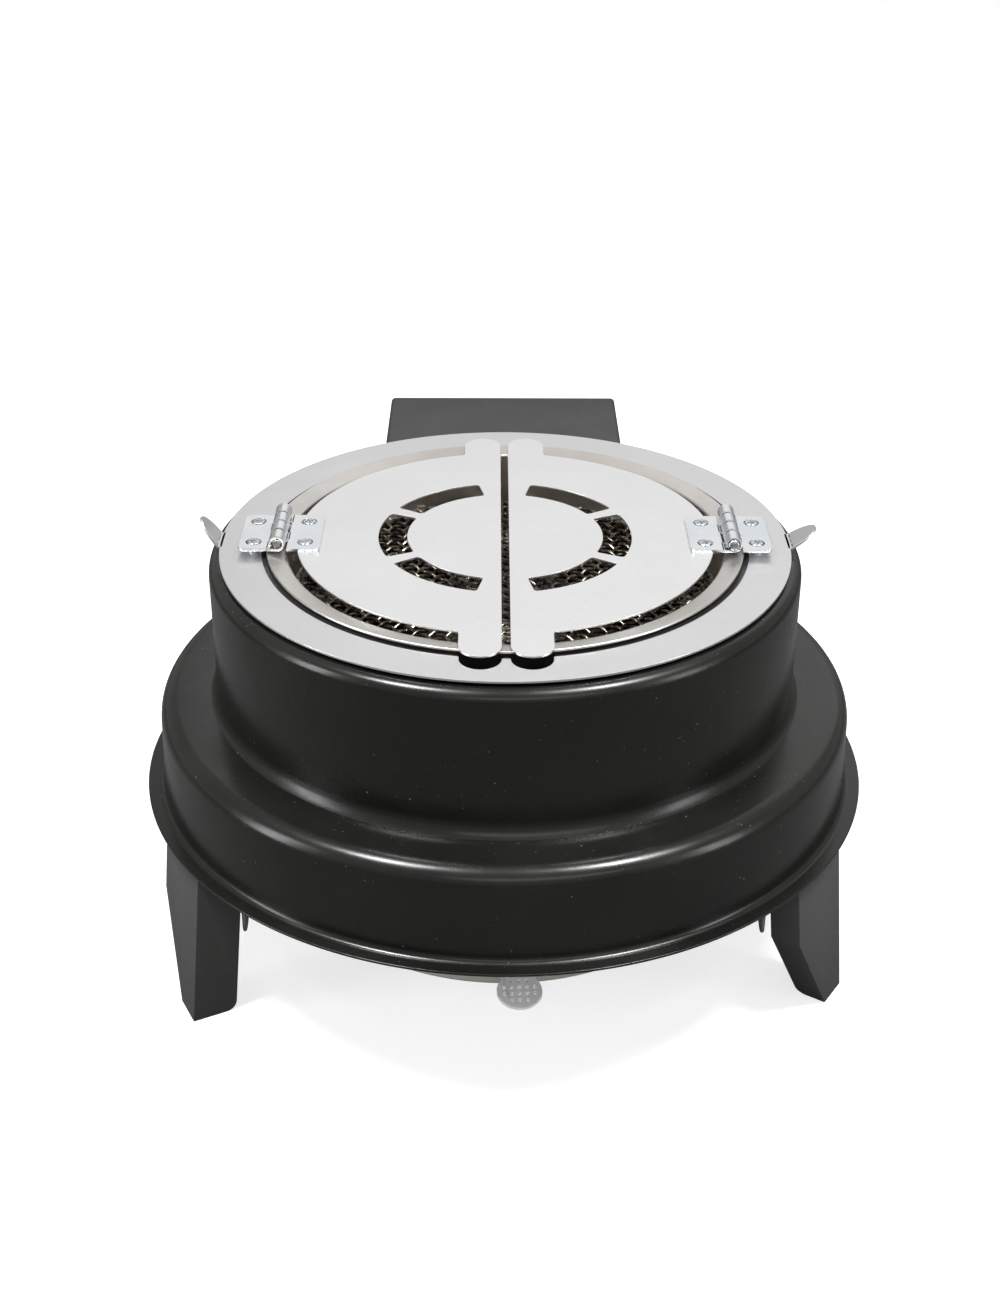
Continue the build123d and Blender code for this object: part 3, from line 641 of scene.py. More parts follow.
@dataclass(frozen=True)
class Finish:
    """What every finish has: a name and a main colour."""

    name: str
    colour: Triple

    def lay(self, coat: Coat) -> None:
        """Lays the finish on an empty coat."""
        raise NotImplementedError

    def make(self) -> bpy.types.Material:
        """Builds the material.

        Returns:
            The material.
        """
        coat = Coat(self.name)
        self.lay(coat)
        return coat.material


@dataclass(frozen=True)
class BrushedSteel(Finish):
    """Stainless sheet with a fine drawn grain, faint smears and heat tint.

    Where a radius in metres is set in the last field, the sheet inside it is painted darker: painted shade that stands
    in for less light on it.
    """

    shade: Triple
    roughness: float = 0.34
    grain: Grain = Grain.ALONG_X
    tint: float = 0.0
    spots: float = 0.0
    metallic: float = 1.0
    shade_painted_to: float = 0.0

    FINE, COARSE, TURNS = 3200.0, 60.0, 5.0
    GRAIN_DEPTH = 0.000006
    STREAKS = 0.25
    # Share, darkness and fade width of the painted shade inside the set radius.
    DULL, DULL_DARK, DULL_EDGE = 0.55, 0.42, 0.004
    SPOT_DARK = 0.35
    HEAT_TINT = (0.62, 0.42, 0.34)

    def lay(self, coat: Coat) -> None:
        """Lays the grain, smears, tint and spots.

        Args:
            coat: the empty coat.
        """
        coat.set(Metallic=self.metallic, Roughness=self.roughness)
        fine, coarse = self.FINE, self.COARSE
        if self.grain is Grain.ROUND:
            spaces = coat.spread()
            joined = coat.add("CombineXYZ")
            for key, space, scale in zip("XYZ", spaces, (fine, self.TURNS, fine)):
                coat.link(coat.calculate("MULTIPLY", space, scale), joined.inputs[key])
            vector = joined.outputs["Vector"]
        else:
            along_x = self.grain is Grain.ALONG_X
            vector = coat.place(scale=(coarse, fine, fine) if along_x else (fine, fine, coarse))
        lines = coat.noise(1.0, 3.0, 0.6, vector)
        smears = coat.noise(22.0, 5.0, 0.6)
        colour = coat.mix(coat.remap(smears, 0.35, 0.7), self.colour, self.shade)
        colour = coat.mix(coat.remap(lines, 0.3, 0.7, 0.0, self.STREAKS), colour, self.shade)
        if self.tint > 0.0:
            warm = coat.remap(coat.noise(16.0, 3.0, 0.5), 0.42, 0.66, 0.0, self.tint)
            colour = coat.mix(warm, colour, self.HEAT_TINT)
        # Painted shade: darkens the sheet inside the set radius.
        if self.shade_painted_to > 0.0:
            painted_dark = coat.remap(spaces[0], self.shade_painted_to - self.DULL_EDGE, self.shade_painted_to, self.DULL, 0.0)
            colour = coat.mix(painted_dark, colour, tuple(self.DULL_DARK * c for c in self.shade))
        if self.spots > 0.0:
            specks = coat.remap(coat.noise(420.0, 2.0, 0.5), 0.66, 0.72, 0.0, self.spots)
            colour = coat.mix(specks, colour, tuple(self.SPOT_DARK * c for c in self.colour))
        coat.paint(colour)
        smeared = coat.remap(smears, 0.3, 0.75, self.roughness - 0.04, self.roughness + 0.06)
        coat.roughen(coat.calculate("ADD", coat.remap(lines, 0.2, 0.8, -0.05, 0.07), smeared))
        coat.bump(lines, 0.35, self.GRAIN_DEPTH)


@dataclass(frozen=True)
class StoveEnamel(Finish):
    """Black heat-proof paint: satin, with fine peel, dust and rubbed patches."""

    worn: Triple
    roughness: float
    peel: float = 0.00004
    gloss: float = 0.35

    DUST, DUST_SHARE = (0.16, 0.155, 0.14), 0.5

    def lay(self, coat: Coat) -> None:
        """Lays the paint, its dust and its peel.

        Args:
            coat: the empty coat.
        """
        coat.set(Metallic=0.0, Roughness=self.roughness, Specular_IOR_Level=self.gloss)
        cloud = coat.remap(coat.noise(14.0, 5.0, 0.6), 0.4, 0.7)
        dust = coat.remap(coat.noise(650.0, 2.0, 0.5), 0.735, 0.77, 0.0, self.DUST_SHARE)
        coat.paint(coat.mix(dust, coat.mix(cloud, self.colour, self.worn), self.DUST))
        patchy = coat.noise(30.0, 6.0, 0.65)
        coat.roughen(coat.remap(patchy, 0.3, 0.72, self.roughness - 0.05, self.roughness + 0.07))
        coat.bump(coat.noise(900.0, 3.0, 0.6), 0.25, self.peel)


@dataclass(frozen=True)
class ZincPlate(Finish):
    """Bright zinc plating with bluish and faint straw tints."""

    blue: Triple = (0.6, 0.67, 0.78)
    straw: Triple = (0.78, 0.74, 0.58)
    roughness: float = 0.24

    ELSEWHERE = (0.3, 0.1, 0.7)
    RELIEF = 0.000006

    def lay(self, coat: Coat) -> None:
        """Lays the plating and its two tints.

        Args:
            coat: the empty coat.
        """
        coat.set(Metallic=1.0, Roughness=self.roughness)
        first = coat.remap(coat.noise(45.0, 2.0, 0.5), 0.42, 0.68, 0.0, 0.4)
        second = coat.remap(coat.noise(70.0, 2.0, 0.5, coat.place(self.ELSEWHERE)), 0.5, 0.7, 0.0, 0.3)
        coat.paint(coat.mix(second, coat.mix(first, self.colour, self.blue), self.straw))
        uneven = coat.noise(200.0, 3.0, 0.5)
        coat.roughen(coat.remap(uneven, 0.3, 0.7, self.roughness - 0.04, self.roughness + 0.06))
        coat.bump(coat.noise(900.0, 2.0, 0.5), 0.1, self.RELIEF)


@dataclass(frozen=True)
class DrawnWire(Finish):
    """Heat-darkened wire with brighter rubbed patches."""

    rubbed: Triple
    roughness: float

    SCALE = 0.00002

    def lay(self, coat: Coat) -> None:
        """Lays the dark scale and the rubbed patches.

        Args:
            coat: the empty coat.
        """
        coat.set(Metallic=1.0, Roughness=self.roughness)
        share = coat.remap(coat.noise(160.0, 4.0, 0.6), 0.4, 0.66)
        coat.paint(coat.mix(share, self.colour, self.rubbed))
        coat.roughen(coat.remap(coat.noise(500.0, 3.0), 0.3, 0.7, self.roughness - 0.08, self.roughness + 0.15))
        coat.bump(coat.noise(1800.0, 2.0), 0.4, self.SCALE)


@dataclass(frozen=True)
class RoughMetal(Finish):
    """Cast or machined metal: tone, pits and roughness."""

    shade: Triple
    metallic: float
    roughness: float
    pit_scale: float
    pit_depth: float

    def lay(self, coat: Coat) -> None:
        """Lays the tone and the pits.

        Args:
            coat: the empty coat.
        """
        coat.set(Metallic=self.metallic, Roughness=self.roughness)
        cloud = coat.remap(coat.noise(40.0, 6.0, 0.65), 0.35, 0.7)
        coat.paint(coat.mix(cloud, self.colour, self.shade))
        pits = coat.noise(self.pit_scale, 4.0, 0.6)
        coat.roughen(coat.remap(pits, 0.3, 0.7, self.roughness - 0.08, self.roughness + 0.1))
        coat.bump(pits, 0.5, self.pit_depth)


@dataclass(frozen=True)
class MouldedPlastic(Finish):
    """Spark-textured black plastic."""

    ROUGHNESS, LIGHTER, SPARK = 0.5, 1.6, 0.00003

    def lay(self, coat: Coat) -> None:
        """Lays the plastic and its spark texture.

        Args:
            coat: the empty coat.
        """
        coat.set(Roughness=self.ROUGHNESS)
        cloud = coat.remap(coat.noise(60.0, 4.0), 0.4, 0.7)
        coat.paint(coat.mix(cloud, self.colour, tuple(self.LIGHTER * c for c in self.colour)))
        coat.bump(coat.noise(2600.0, 3.0, 0.6), 0.4, self.SPARK)


LID_STEEL = BrushedSteel("lid_steel", (0.82, 0.82, 0.815), (0.76, 0.76, 0.76), 0.34, spots=0.12)
RING_STEEL = BrushedSteel("ring_steel", (0.7, 0.7, 0.7), (0.64, 0.64, 0.645), 0.36, Grain.ROUND, spots=0.1)
BASKET_STEEL = BrushedSteel(
    "basket_steel", (0.66, 0.65, 0.625), (0.5, 0.49, 0.465), 0.34, Grain.ROUND, tint=0.15
)
# The dish floor is painted darker inside its wall: painted shade.
TRAY_STEEL = BrushedSteel(
    "tray_steel", (0.84, 0.8, 0.76), (0.7, 0.66, 0.62), 0.4, Grain.ROUND, tint=0.12, metallic=0.5, shade_painted_to=0.0985
)
PULL_STEEL = BrushedSteel("pull_steel", (1.0, 1.0, 1.0), (0.95, 0.95, 0.95), 0.42, metallic=0.15)
STRAP_STEEL = BrushedSteel(
    "strap_steel", (0.7, 0.69, 0.67), (0.6, 0.59, 0.57), 0.36, Grain.UPRIGHT, metallic=0.7
)
RIVET_STEEL = BrushedSteel("rivet_steel", (0.5, 0.5, 0.5), (0.42, 0.42, 0.42), 0.4)
SHELL_ENAMEL = StoveEnamel("shell_enamel", (0.0044, 0.0044, 0.0038), (0.0075, 0.0074, 0.0063), 0.25, 0.00003, 0.37)
LEG_ENAMEL = StoveEnamel("leg_enamel", (0.05, 0.05, 0.049), (0.06, 0.059, 0.057), 0.46, 0.00006, 0.45)
BOX_ENAMEL = StoveEnamel("box_enamel", (0.013, 0.013, 0.013), (0.017, 0.017, 0.0165), 0.4)
HINGE_ZINC = ZincPlate("hinge_zinc", (0.76, 0.775, 0.79))
SCREW_ZINC = ZincPlate("screw_zinc", (0.56, 0.585, 0.61))
PIN_ZINC = ZincPlate("pin_zinc", (0.24, 0.25, 0.26), (0.2, 0.22, 0.25), (0.26, 0.25, 0.2), 0.3)
MESH_WIRE = DrawnWire("mesh_wire", (0.13, 0.1, 0.075), (0.56, 0.5, 0.42), 0.24)
BURNER_IRON = RoughMetal("burner_iron", (0.045, 0.042, 0.04), (0.07, 0.06, 0.052), 0.4, 0.68, 380.0, 0.0002)
PIPE_STEEL = RoughMetal("pipe_steel", (0.42, 0.4, 0.37), (0.34, 0.31, 0.28), 1.0, 0.42, 900.0, 0.00003)
VALVE_BRASS = RoughMetal("valve_brass", (0.74, 0.55, 0.24), (0.62, 0.44, 0.18), 1.0, 0.3, 1200.0, 0.00002)
KNOB_PLASTIC = MouldedPlastic("knob_plastic", (0.012, 0.012, 0.012))


class Finishes:
    """Materials by finish, each made once."""

    def __init__(self) -> None:
        """Starts with none made."""
        self.made: dict[str, bpy.types.Material] = {}

    def dress(self, piece: Piece, finish: Finish) -> None:
        """Gives a piece one finish all over.

        Args:
            piece: the piece.
            finish: its finish.
        """
        if finish.name not in self.made:
            self.made[finish.name] = finish.make()
        piece.data.materials.clear()
        piece.data.materials.append(self.made[finish.name])
        LOG.info("%s: %s", piece.name, finish.name)

    def dress_nodes(self, finish: Finish, *nodes: str) -> None:
        """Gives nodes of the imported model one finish, as they are."""
        for node in nodes:
            self.dress(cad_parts[node], finish)


FINISHES = Finishes()


def fit_piece(piece: Piece, finish: Finish, body: str, node: str) -> None:
    """Dresses a new piece and puts it on its body in place of a node.

    Args:
        piece: the finished mesh.
        finish: its finish.
        body: body that it moves with.
        node: node that it stands for.
    """
    FINISHES.dress(piece, finish)
    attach(piece, body)
    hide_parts(node)
    LOG.info("%s: %d faces on %s", piece.name, len(piece.data.polygons), body)


def eased_copy(name: str, node: str, width: float, angle: float = 28.0,
               cutter: Optional[Piece] = None) -> Piece:
    """Copies a node's mesh, merges it and eases its sharp edges.

    Args:
        name: name of the copy.
        node: node to copy.
        width: width of the eased edges in millimetres.
        angle: widest turn in degrees that is left alone.
        cutter: mesh to take away first, which is used up.

    Returns:
        The eased copy.
    """
    piece = merge(copy_of(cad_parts[node], Matrix.Identity(4), name), PACKED)
    with editing(piece):
        bpy.ops.mesh.dissolve_limited(angle_limit=math.radians(FLAT_ANGLE))
    if cutter is not None:
        cut(piece, cutter)
    modified(piece, "BEVEL", width=width * MM, segments=2, limit_method="ANGLE",
             angle_limit=math.radians(angle), harden_normals=False)
    return smooth(piece, EASED_ANGLE)


# ----- housing
@dataclass
class Housing:
    """Drawn black shell with its flange, and the legs under it."""

    mouth: float = 112.0
    cylinder: float = 130.0
    lower_top: float = 155.6
    lower_end: float = 156.8
    flange: float = 164.4
    top_z: float = 187.5
    shoulder_z: float = 122.0
    flange_z: float = 80.0
    gauge: float = 1.2
    flare_r: float = 10.0
    flare_end: float = 45.0
    mouth_bend: float = 5.5
    shoulder_bend: float = 8.0
    flange_bend: float = 2.8
    leg_top: float = 159.0
    leg_splay: float = 8.0
    leg_toe: float = 13.5
    leg_corner: float = 5.0
    leg_tab: float = 1.6
    leg_deep: float = 22.0
    leg_back: float = 40.0
    below: float = 5.0

    def build_shell(self) -> None:
        """Turns the shell in one piece."""
        rise = self.flare_r * math.sin(math.radians(self.flare_end))
        centre = (self.cylinder + self.flare_r, self.shoulder_z + rise)
        flare = arc(centre, self.flare_r, 180.0, 180.0 + self.flare_end, 5.0)
        line = [
            (self.mouth, self.top_z),
            (self.cylinder, self.top_z),
            *flare,
            (self.lower_top, self.shoulder_z),
            (self.lower_end, self.flange_z),
            (self.flange, self.flange_z),
        ]
        bends = [0, self.mouth_bend] + [0] * len(flare) + [self.shoulder_bend, self.flange_bend, 0]
        shell = lathe("housing_body", sheet_outline(line, bends, self.gauge, -1), 288)
        fit_piece(shell, SHELL_ENAMEL, "housing", "housing_shell")

    def flange_cutter(self, node: str, azimuth: float) -> Piece:
        """Models what is cut off a leg's tapered side to leave it shallow.

        Args:
            node: node of the leg.
            azimuth: where the leg stands round the housing, in degrees.

        Returns:
            The cutter, in its place.
        """
        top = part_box(node)[1][2] / MM - self.leg_tab
        near, far = self.leg_top - self.leg_toe, self.leg_top + self.leg_splay - self.leg_toe
        inner, outer = self.leg_top - 2.0 * self.leg_deep, far + 2.0 * self.leg_corner
        line = [(inner, top), (near, top), (far, 0.0), (outer, 0.0), (outer, -self.below), (inner, -self.below)]
        side = rounded(line, [0, 0, self.leg_corner, 0, 0, 0])
        cutter = cross_section("cutter", [side], -self.leg_back, self.leg_deep, 0.0)
        cutter.data.transform(upright_turn(azimuth))
        return about_axis(cutter)

    def build(self) -> None:
        """Builds the shell and the legs, and dresses what holds them."""
        self.build_shell()
        for node, azimuth in (("leg_left", 207.0), ("leg_right", 327.0), ("leg_rear", 87.0)):
            leg = eased_copy(node + "_channel", node, 0.45, cutter=self.flange_cutter(node, azimuth))
            fit_piece(leg, LEG_ENAMEL, "housing", node)
        FINISHES.dress_nodes(RIVET_STEEL, "leg_rivets", "hanger_rivets", "box_rivets", "cover_rivets")
        FINISHES.dress_nodes(BOX_ENAMEL, "base_ring")


# ----- ring plate
@dataclass
class TopRing:
    """Stainless ring with finger scoops, lifting ears and the spigot below."""

    outer: float = 125.0
    bore: float = 106.8
    low: float = 189.0
    high: float = 190.0
    edge: float = 0.12
    scoop_x: float = 10.2
    scoop_r: float = 8.4
    scoop_reach: float = 115.6
    least_step: float = 0.02
    ear_width: float = 14.6
    ear_flat: float = 0.6
    ear_rise: float = 13.6
    ear_bend: float = 0.6
    ear_cuts: int = 5
    right_lean: float = 34.0
    left_lean: float = 55.0
    slot_width: float = 0.6
    slot_length: float = 2.8
    slot_pitch: float = 4.6
    slot_gap: float = 1.05
    slot_round: float = 0.95

    def bore_outline(self) -> Outline:
        """Draws the bore with the four finger scoops let into it.

        Returns:
            The closed outline.
        """
        line: Outline = []
        centre_y = self.scoop_reach - self.scoop_r
        side = math.degrees(math.acos((self.scoop_x + self.scoop_r) / self.bore))
        for turn in (1, -1):
            half = arc(CENTRE, self.bore, -side, side, 1.25)
            for x in (self.scoop_x, -self.scoop_x):
                ends = [(end, math.sqrt(self.bore ** 2 - end ** 2)) for end in (x + self.scoop_r, x - self.scoop_r)]
                half += ends[:1] + arc((x, centre_y), self.scoop_r, 0.0, 180.0, 7.5) + ends[1:]
            line.extend((turn * x, turn * y) for x, y in half)
        cleaned = line[:1]
        for point in line:
            if math.dist(point, cleaned[-1]) > self.least_step:
                cleaned.append(point)
        return cleaned

    def tongue(self, bend_x: float) -> list[Outline]:
        """Draws an ear laid flat, with its row of slots along the bend.

        Args:
            bend_x: distance of the bend from the housing axis.

        Returns:
            The outer outline and the slots.
        """
        half = self.ear_width / 2.0
        root = math.sqrt((self.outer - 1.0) ** 2 - half ** 2)
        neck = bend_x + self.ear_bend
        petal = [(neck + (bend_x + self.ear_rise - neck) * x, half * y) for x, y in arc(CENTRE, 1.0, -90.0, 90.0, 5.0)]
        outlines = [[(root, -half)] + petal + [(root, half)]]
        wide, long = self.slot_width / 2.0, self.slot_length / 2.0
        for number in (-1, 0, 1):
            x, y = bend_x + self.slot_gap, number * self.slot_pitch
            corners = [(x - wide, y - long), (x + wide, y - long), (x + wide, y + long), (x - wide, y + long)]
            outlines.append(rounded(corners, [wide * self.slot_round] * 4, 30.0))
        return outlines

    def ear(self, lean: float) -> Piece:
        """Models the right-hand ear: a tongue bent up at the rim along a row of slots.

        Args:
            lean: angle of the bend in degrees.

        Returns:
            The ear as a mesh.
        """
        bend_x = self.outer + self.ear_flat
        piece = flat_piece("ear", self.tongue(bend_x), self.low, self.high, self.edge)
        start, width = (bend_x - self.ear_bend) * MM, 2.0 * self.ear_bend * MM
        with editing(piece):
            for index in range(self.ear_cuts):
                at = start + width * index / (self.ear_cuts - 1)
                bpy.ops.mesh.select_all(action="SELECT")
                bpy.ops.mesh.bisect(plane_co=(at, 0.0, 0.0), plane_no=(1.0, 0.0, 0.0))
        pivot_z = (self.high + self.ear_bend) * MM
        for vertex in piece.data.vertices:
            past = vertex.co.x - start
            if past <= 0.0:
                continue
            angle = math.radians(lean) * min(past / width, 1.0)
            straight = max(past - width, 0.0)
            arm = pivot_z - vertex.co.z
            bent = Vector((start, vertex.co.y, pivot_z)) + arm * Vector((math.sin(angle), 0.0, -math.cos(angle)))
            vertex.co = bent + straight * Vector((math.cos(angle), 0.0, math.sin(angle)))
        return smooth(piece, PLATE_ANGLE)

    def build(self) -> None:
        """Builds the ring with its ears and dresses the spigot."""
        rim = circle(CENTRE, self.outer, 288)
        plate = flat_piece("ring", [rim, self.bore_outline()], self.low, self.high, self.edge)
        left = self.ear(self.left_lean)
        left.data.transform(upright_turn(180.0))
        ring = about_axis(join("ring_with_ears", [plate, self.ear(self.right_lean), left]))
        fit_piece(ring, RING_STEEL, "top_unit", "ring_plate")
        # The spigot is dressed black: painted shade for the gap under the basket lip.
        FINISHES.dress_nodes(BOX_ENAMEL, "ring_collar")


# ----- basket
@dataclass
class Basket:
    """Dished rim, woven floor and the bars beneath it."""

    lip: float = 104.4
    wall: float = 95.6
    ledge: float = 90.5
    lip_z: float = 191.8
    top_z: float = 190.2
    ledge_z: float = 165.2
    gauge: float = 1.2
    rim_bend: float = 1.4
    ledge_bend: float = 0.6
    cloth: float = 94.4
    cloth_z: float = 166.0
    selvage: float = 4.0
    pitch: float = 5.3
    wire: float = 0.62
    crimp: float = 1.02
    turn: float = 45.0
    steps: int = 4

    def build_rim(self) -> None:
        """Turns the rim and wall in one piece."""
        line = [(self.lip, self.lip_z), (self.wall, self.top_z), (self.wall, self.ledge_z), (self.ledge, self.ledge_z)]
        outline = sheet_outline(line, [0, self.rim_bend, self.ledge_bend, 0], self.gauge, 1)
        rim = lathe("basket_shell", outline, 256)
        fit_piece(rim, BASKET_STEEL, "top_unit", "basket_rim")

    def build_cloth(self) -> None:
        """Weaves the floor wire over wire."""
        weave = bpy.data.curves.new("basket_cloth", "CURVE")
        weave.dimensions = "3D"
        weave.bevel_depth = self.wire * MM
        weave.bevel_resolution = 1
        weave.use_fill_caps = True
        rows = int(self.cloth / self.pitch)
        lift = self.wire * self.crimp
        for along in (0, 1):
            for row in range(-rows, rows + 1):
                across = (row + 0.5) * self.pitch
                if abs(across) > self.cloth - self.selvage:
                    continue
                reach = math.sqrt(self.cloth ** 2 - across ** 2)
                count = int(reach / (self.pitch / self.steps))
                spline = weave.splines.new("POLY")
                spline.points.add(2 * count)
                for index, spot in enumerate(spline.points):
                    place = (index - count) * self.pitch / self.steps
                    phase = math.pi * (place / self.pitch - 0.5 + row + along)
                    height = self.cloth_z + lift * math.cos(phase)
                    x, y = (place, across) if along == 0 else (across, place)
                    spot.co = (x * MM, y * MM, height * MM, 1.0)
        cloth = meshed("basket_cloth", weave)
        cloth.data.transform(upright_turn(self.turn))
        smooth(about_axis(cloth), CLOTH_ANGLE)
        fit_piece(cloth, MESH_WIRE, "top_unit", "basket_mesh")

    def build(self) -> None:
        """Builds the rim, the cloth and the bars."""
        self.build_rim()
        self.build_cloth()
        bars = eased_copy("basket_bars", "basket_cross_bars", 0.3)
        fit_piece(bars, STRAP_STEEL, "top_unit", "basket_cross_bars")


# ----- lids
@dataclass
class HalfLids:
    """Two half lids with arc vents and finger tabs."""

    radius: float = 91.4
    low: float = 191.8
    high: float = 192.7
    slit: float = 3.5
    tab_x: float = 19.0
    tab_reach: float = 110.0
    tab_root: float = 2.0
    vent_out: float = 55.6
    vent_in: float = 43.0
    vent_span: float = 47.0
    vent_step: float = 54.0
    vent_corner: float = 1.5
    edge: float = 0.12

    def outline(self) -> Outline:
        """Draws the right-hand half with its two tabs.

        Returns:
            The closed outline.
        """
        inner = self.slit / 2.0
        tab_r = (self.tab_x - inner) / 2.0
        tab_c = (self.tab_x + inner) / 2.0
        root_c = self.tab_x + self.tab_root
        reach = math.sqrt((self.radius + self.tab_root) ** 2 - root_c ** 2)
        swing = math.degrees(math.atan2(reach, root_c))
        half = arc(CENTRE, self.radius, 0.0, swing, 1.25)
        half += arc((root_c, reach), self.tab_root, swing - 180.0, -180.0, 12.0)[1:]
        half += arc((tab_c, self.tab_reach - tab_r), tab_r, 0.0, 180.0, 6.0)
        return half + [(x, -y) for x, y in half[:0:-1]]

    def vents(self) -> list[Outline]:
        """Draws the three arc vents of the right-hand half.

        Returns:
            Their outlines.
        """
        slots = []
        corner = self.vent_corner
        far, near = self.vent_out - corner, self.vent_in + corner
        far_in, near_in = (math.degrees(math.asin(corner / radius)) for radius in (far, near))
        for number in (-1, 0, 1):
            start = number * self.vent_step - self.vent_span / 2.0
            end = start + self.vent_span
            slot: Outline = []
            for radius, rim, first, last, begin, finish, back in (
                (far, self.vent_out, start + far_in, end - far_in, start - 90.0, end + 90.0, 0.0),
                (near, self.vent_in, end - near_in, start + near_in, end + 90.0, start + 270.0, 180.0),
            ):
                slot += arc(polar(radius, first), corner, begin, first + back, 15.0)
                slot += arc(CENTRE, rim, first, last, 2.0)[1:-1]
                slot += arc(polar(radius, last), corner, last + back, finish, 15.0)
            slots.append(slot)
        return slots

    def build(self) -> None:
        """Builds both half lids."""
        right = flat_piece("lid_right_plate", [self.outline()] + self.vents(), self.low, self.high, self.edge)
        left = copy_of(right, upright_turn(180.0), "lid_left_plate")
        for hand, piece in (("right", right), ("left", left)):
            fit_piece(about_axis(piece), LID_STEEL, f"lid_{hand}_body", f"lid_{hand}")


# ----- hinges
@dataclass
class Hinges:
    """Rolled zinc hinges: two leaves, a pin and four screws each side."""

    pin_x: float = 98.6
    pin_z: float = 196.3
    pin_r: float = 1.9
    pin_past: float = 0.2
    pin_ease: float = 0.3
    pin_end: float = 0.02
    pin_head: tuple[Point, ...] = ((2.9, 0.0), (2.8, 0.6), (2.2, 1.25), (1.2, 1.75), (0.02, 1.9))
    barrel: float = 3.6
    bore: float = 2.3
    roll: float = 292.0
    tuck: float = 0.6
    gauge: float = 1.3
    width: float = 35.0
    gap: float = 1.2
    ease: float = 0.35
    clear: float = 0.4
    edge: float = 0.16
    leaf_corner: float = 3.0
    ring_leaf_x: float = 115.7
    lid_leaf_x: float = 80.2
    ring_top: float = 190.0
    ring_screw_x: float = 109.4
    lid_screw_x: float = 87.0
    screw_y: float = 10.4
    screw_r: float = 2.9
    screw_ease: float = 0.42
    screw_high: float = 1.1
    screw_z: float = -0.3
    recess: Triple = (3.6, 0.9, 2.0)
    recess_z: float = 0.5
    first_slant: float = 25.0
    side_slant: float = 47.0
    next_slant: float = 31.0
    seat_play: float = 0.5
    spacer_r: float = 2.4
    spacer_edge: float = 0.1
    knuckles: int = 4

    def curl(self, side: int) -> Outline:
        """Draws a knuckle: the sheet runs in under the pin and rolls over it.

        Args:
            side: +1 for the ring leaf, -1 for the lid leaf.

        Returns:
            The closed outline in X and Z.
        """
        start, end = -90.0, -90.0 - self.roll
        reach = self.barrel + self.clear + self.tuck
        line = arc(CENTRE, self.barrel, start, end, 9.0) + arc(CENTRE, self.bore, end, start, 9.0)
        line += [(reach, -self.bore), (reach, -self.barrel)]
        return [(self.pin_x + side * x, self.pin_z + z) for x, z in line]

    def bands(self, numbers: Iterable[int]) -> list[Point]:
        """Gives the depth ranges of the numbered knuckles.

        Args:
            numbers: the knuckles, counted from the front.

        Returns:
            Front and back of each.
        """
        share = (self.width - (self.knuckles - 1) * self.gap) / self.knuckles
        fronts = [-self.width / 2.0 + k * (share + self.gap) for k in numbers]
        return [(front, front + share) for front in fronts]

    def leaf(self, side: int, numbers: Iterable[int]) -> Piece:
        """Models one leaf of the right-hand hinge.

        Args:
            side: +1 for the ring leaf, -1 for the lid leaf.
            numbers: its knuckles, counted from the front.

        Returns:
            The leaf with its knuckles.
        """
        half = self.width / 2.0
        far, screw_x = (self.ring_leaf_x, self.ring_screw_x) if side > 0 else (self.lid_leaf_x, self.lid_screw_x)
        low = self.pin_z - self.barrel
        near = self.pin_x + side * (self.barrel + self.clear)
        seats = [circle((screw_x, s * self.screw_y), self.screw_r + self.seat_play, 32) for s in (-1, 1)]
        corners = [(near, -half), (far, -half), (far, half), (near, half)]
        plate = rounded(corners, [0, self.leaf_corner, self.leaf_corner, 0], 10.0)
        parts = [flat_piece("leaf", [plate] + seats, low, low + self.gauge, self.edge)]
        for front, back in self.bands(numbers):
            parts.append(cross_section("knuckle", [self.curl(side)], front, back, self.ease))
        return join("leaf", parts)

    def pin(self) -> Piece:
        """Models the pin with one domed head in front, lying along Y.

        Returns:
            The pin, in its place on the right.
        """
        half = self.width / 2.0 + self.pin_past
        tail = [(self.pin_end, -half), (self.pin_r - self.pin_ease, -half), (self.pin_r, self.pin_ease - half)]
        head = [(self.pin_r, half)] + [(r, half + y) for r, y in self.pin_head]
        piece = merge(turned(tail + head, 0.0, 28, "NGON"), APART, outward=True)
        place = Matrix.Translation((self.pin_x * MM, 0.0, self.pin_z * MM))
        piece.data.transform(place @ Matrix.Rotation(math.radians(90.0), 4, "X"))
        return smooth(piece, PIN_ANGLE)

    def screw(self) -> Piece:
        """Models one low round head with a cross recess, standing at the origin.

        Returns:
            The head.
        """
        deselect()
        bpy.ops.mesh.primitive_cylinder_add(
            vertices=36, radius=self.screw_r * MM, depth=self.screw_high * MM, location=(0.0, 0.0, self.screw_z * MM)
        )
        head = settle(bpy.context.object)
        modified(head, "BEVEL", width=self.screw_ease * MM, segments=3, limit_method="ANGLE",
                 angle_limit=math.radians(40.0))
        for turn in (0.0, 90.0):
            deselect()
            bpy.ops.mesh.primitive_cube_add(size=1.0, location=(0.0, 0.0, self.recess_z * MM))
            cutter = bpy.context.object
            cutter.scale = tuple(size * MM for size in self.recess)
            cutter.rotation_euler = (0.0, 0.0, math.radians(turn))
            cut(head, settle(cutter))
        return smooth(head, SCREW_ANGLE)

    def spacers(self) -> list[Piece]:
        """Models the bushes that carry the ring leaves above the ring.

        Returns:
            Four bushes, in their places.
        """
        bushes = []
        for hand in (-1, 1):
            for side in (-1, 1):
                line = circle((hand * self.ring_screw_x, side * self.screw_y), self.spacer_r, 28)
                bush = flat_piece("bush", [line], self.ring_top, self.pin_z - self.barrel, self.spacer_edge)
                bushes.append(about_axis(bush))
        return bushes

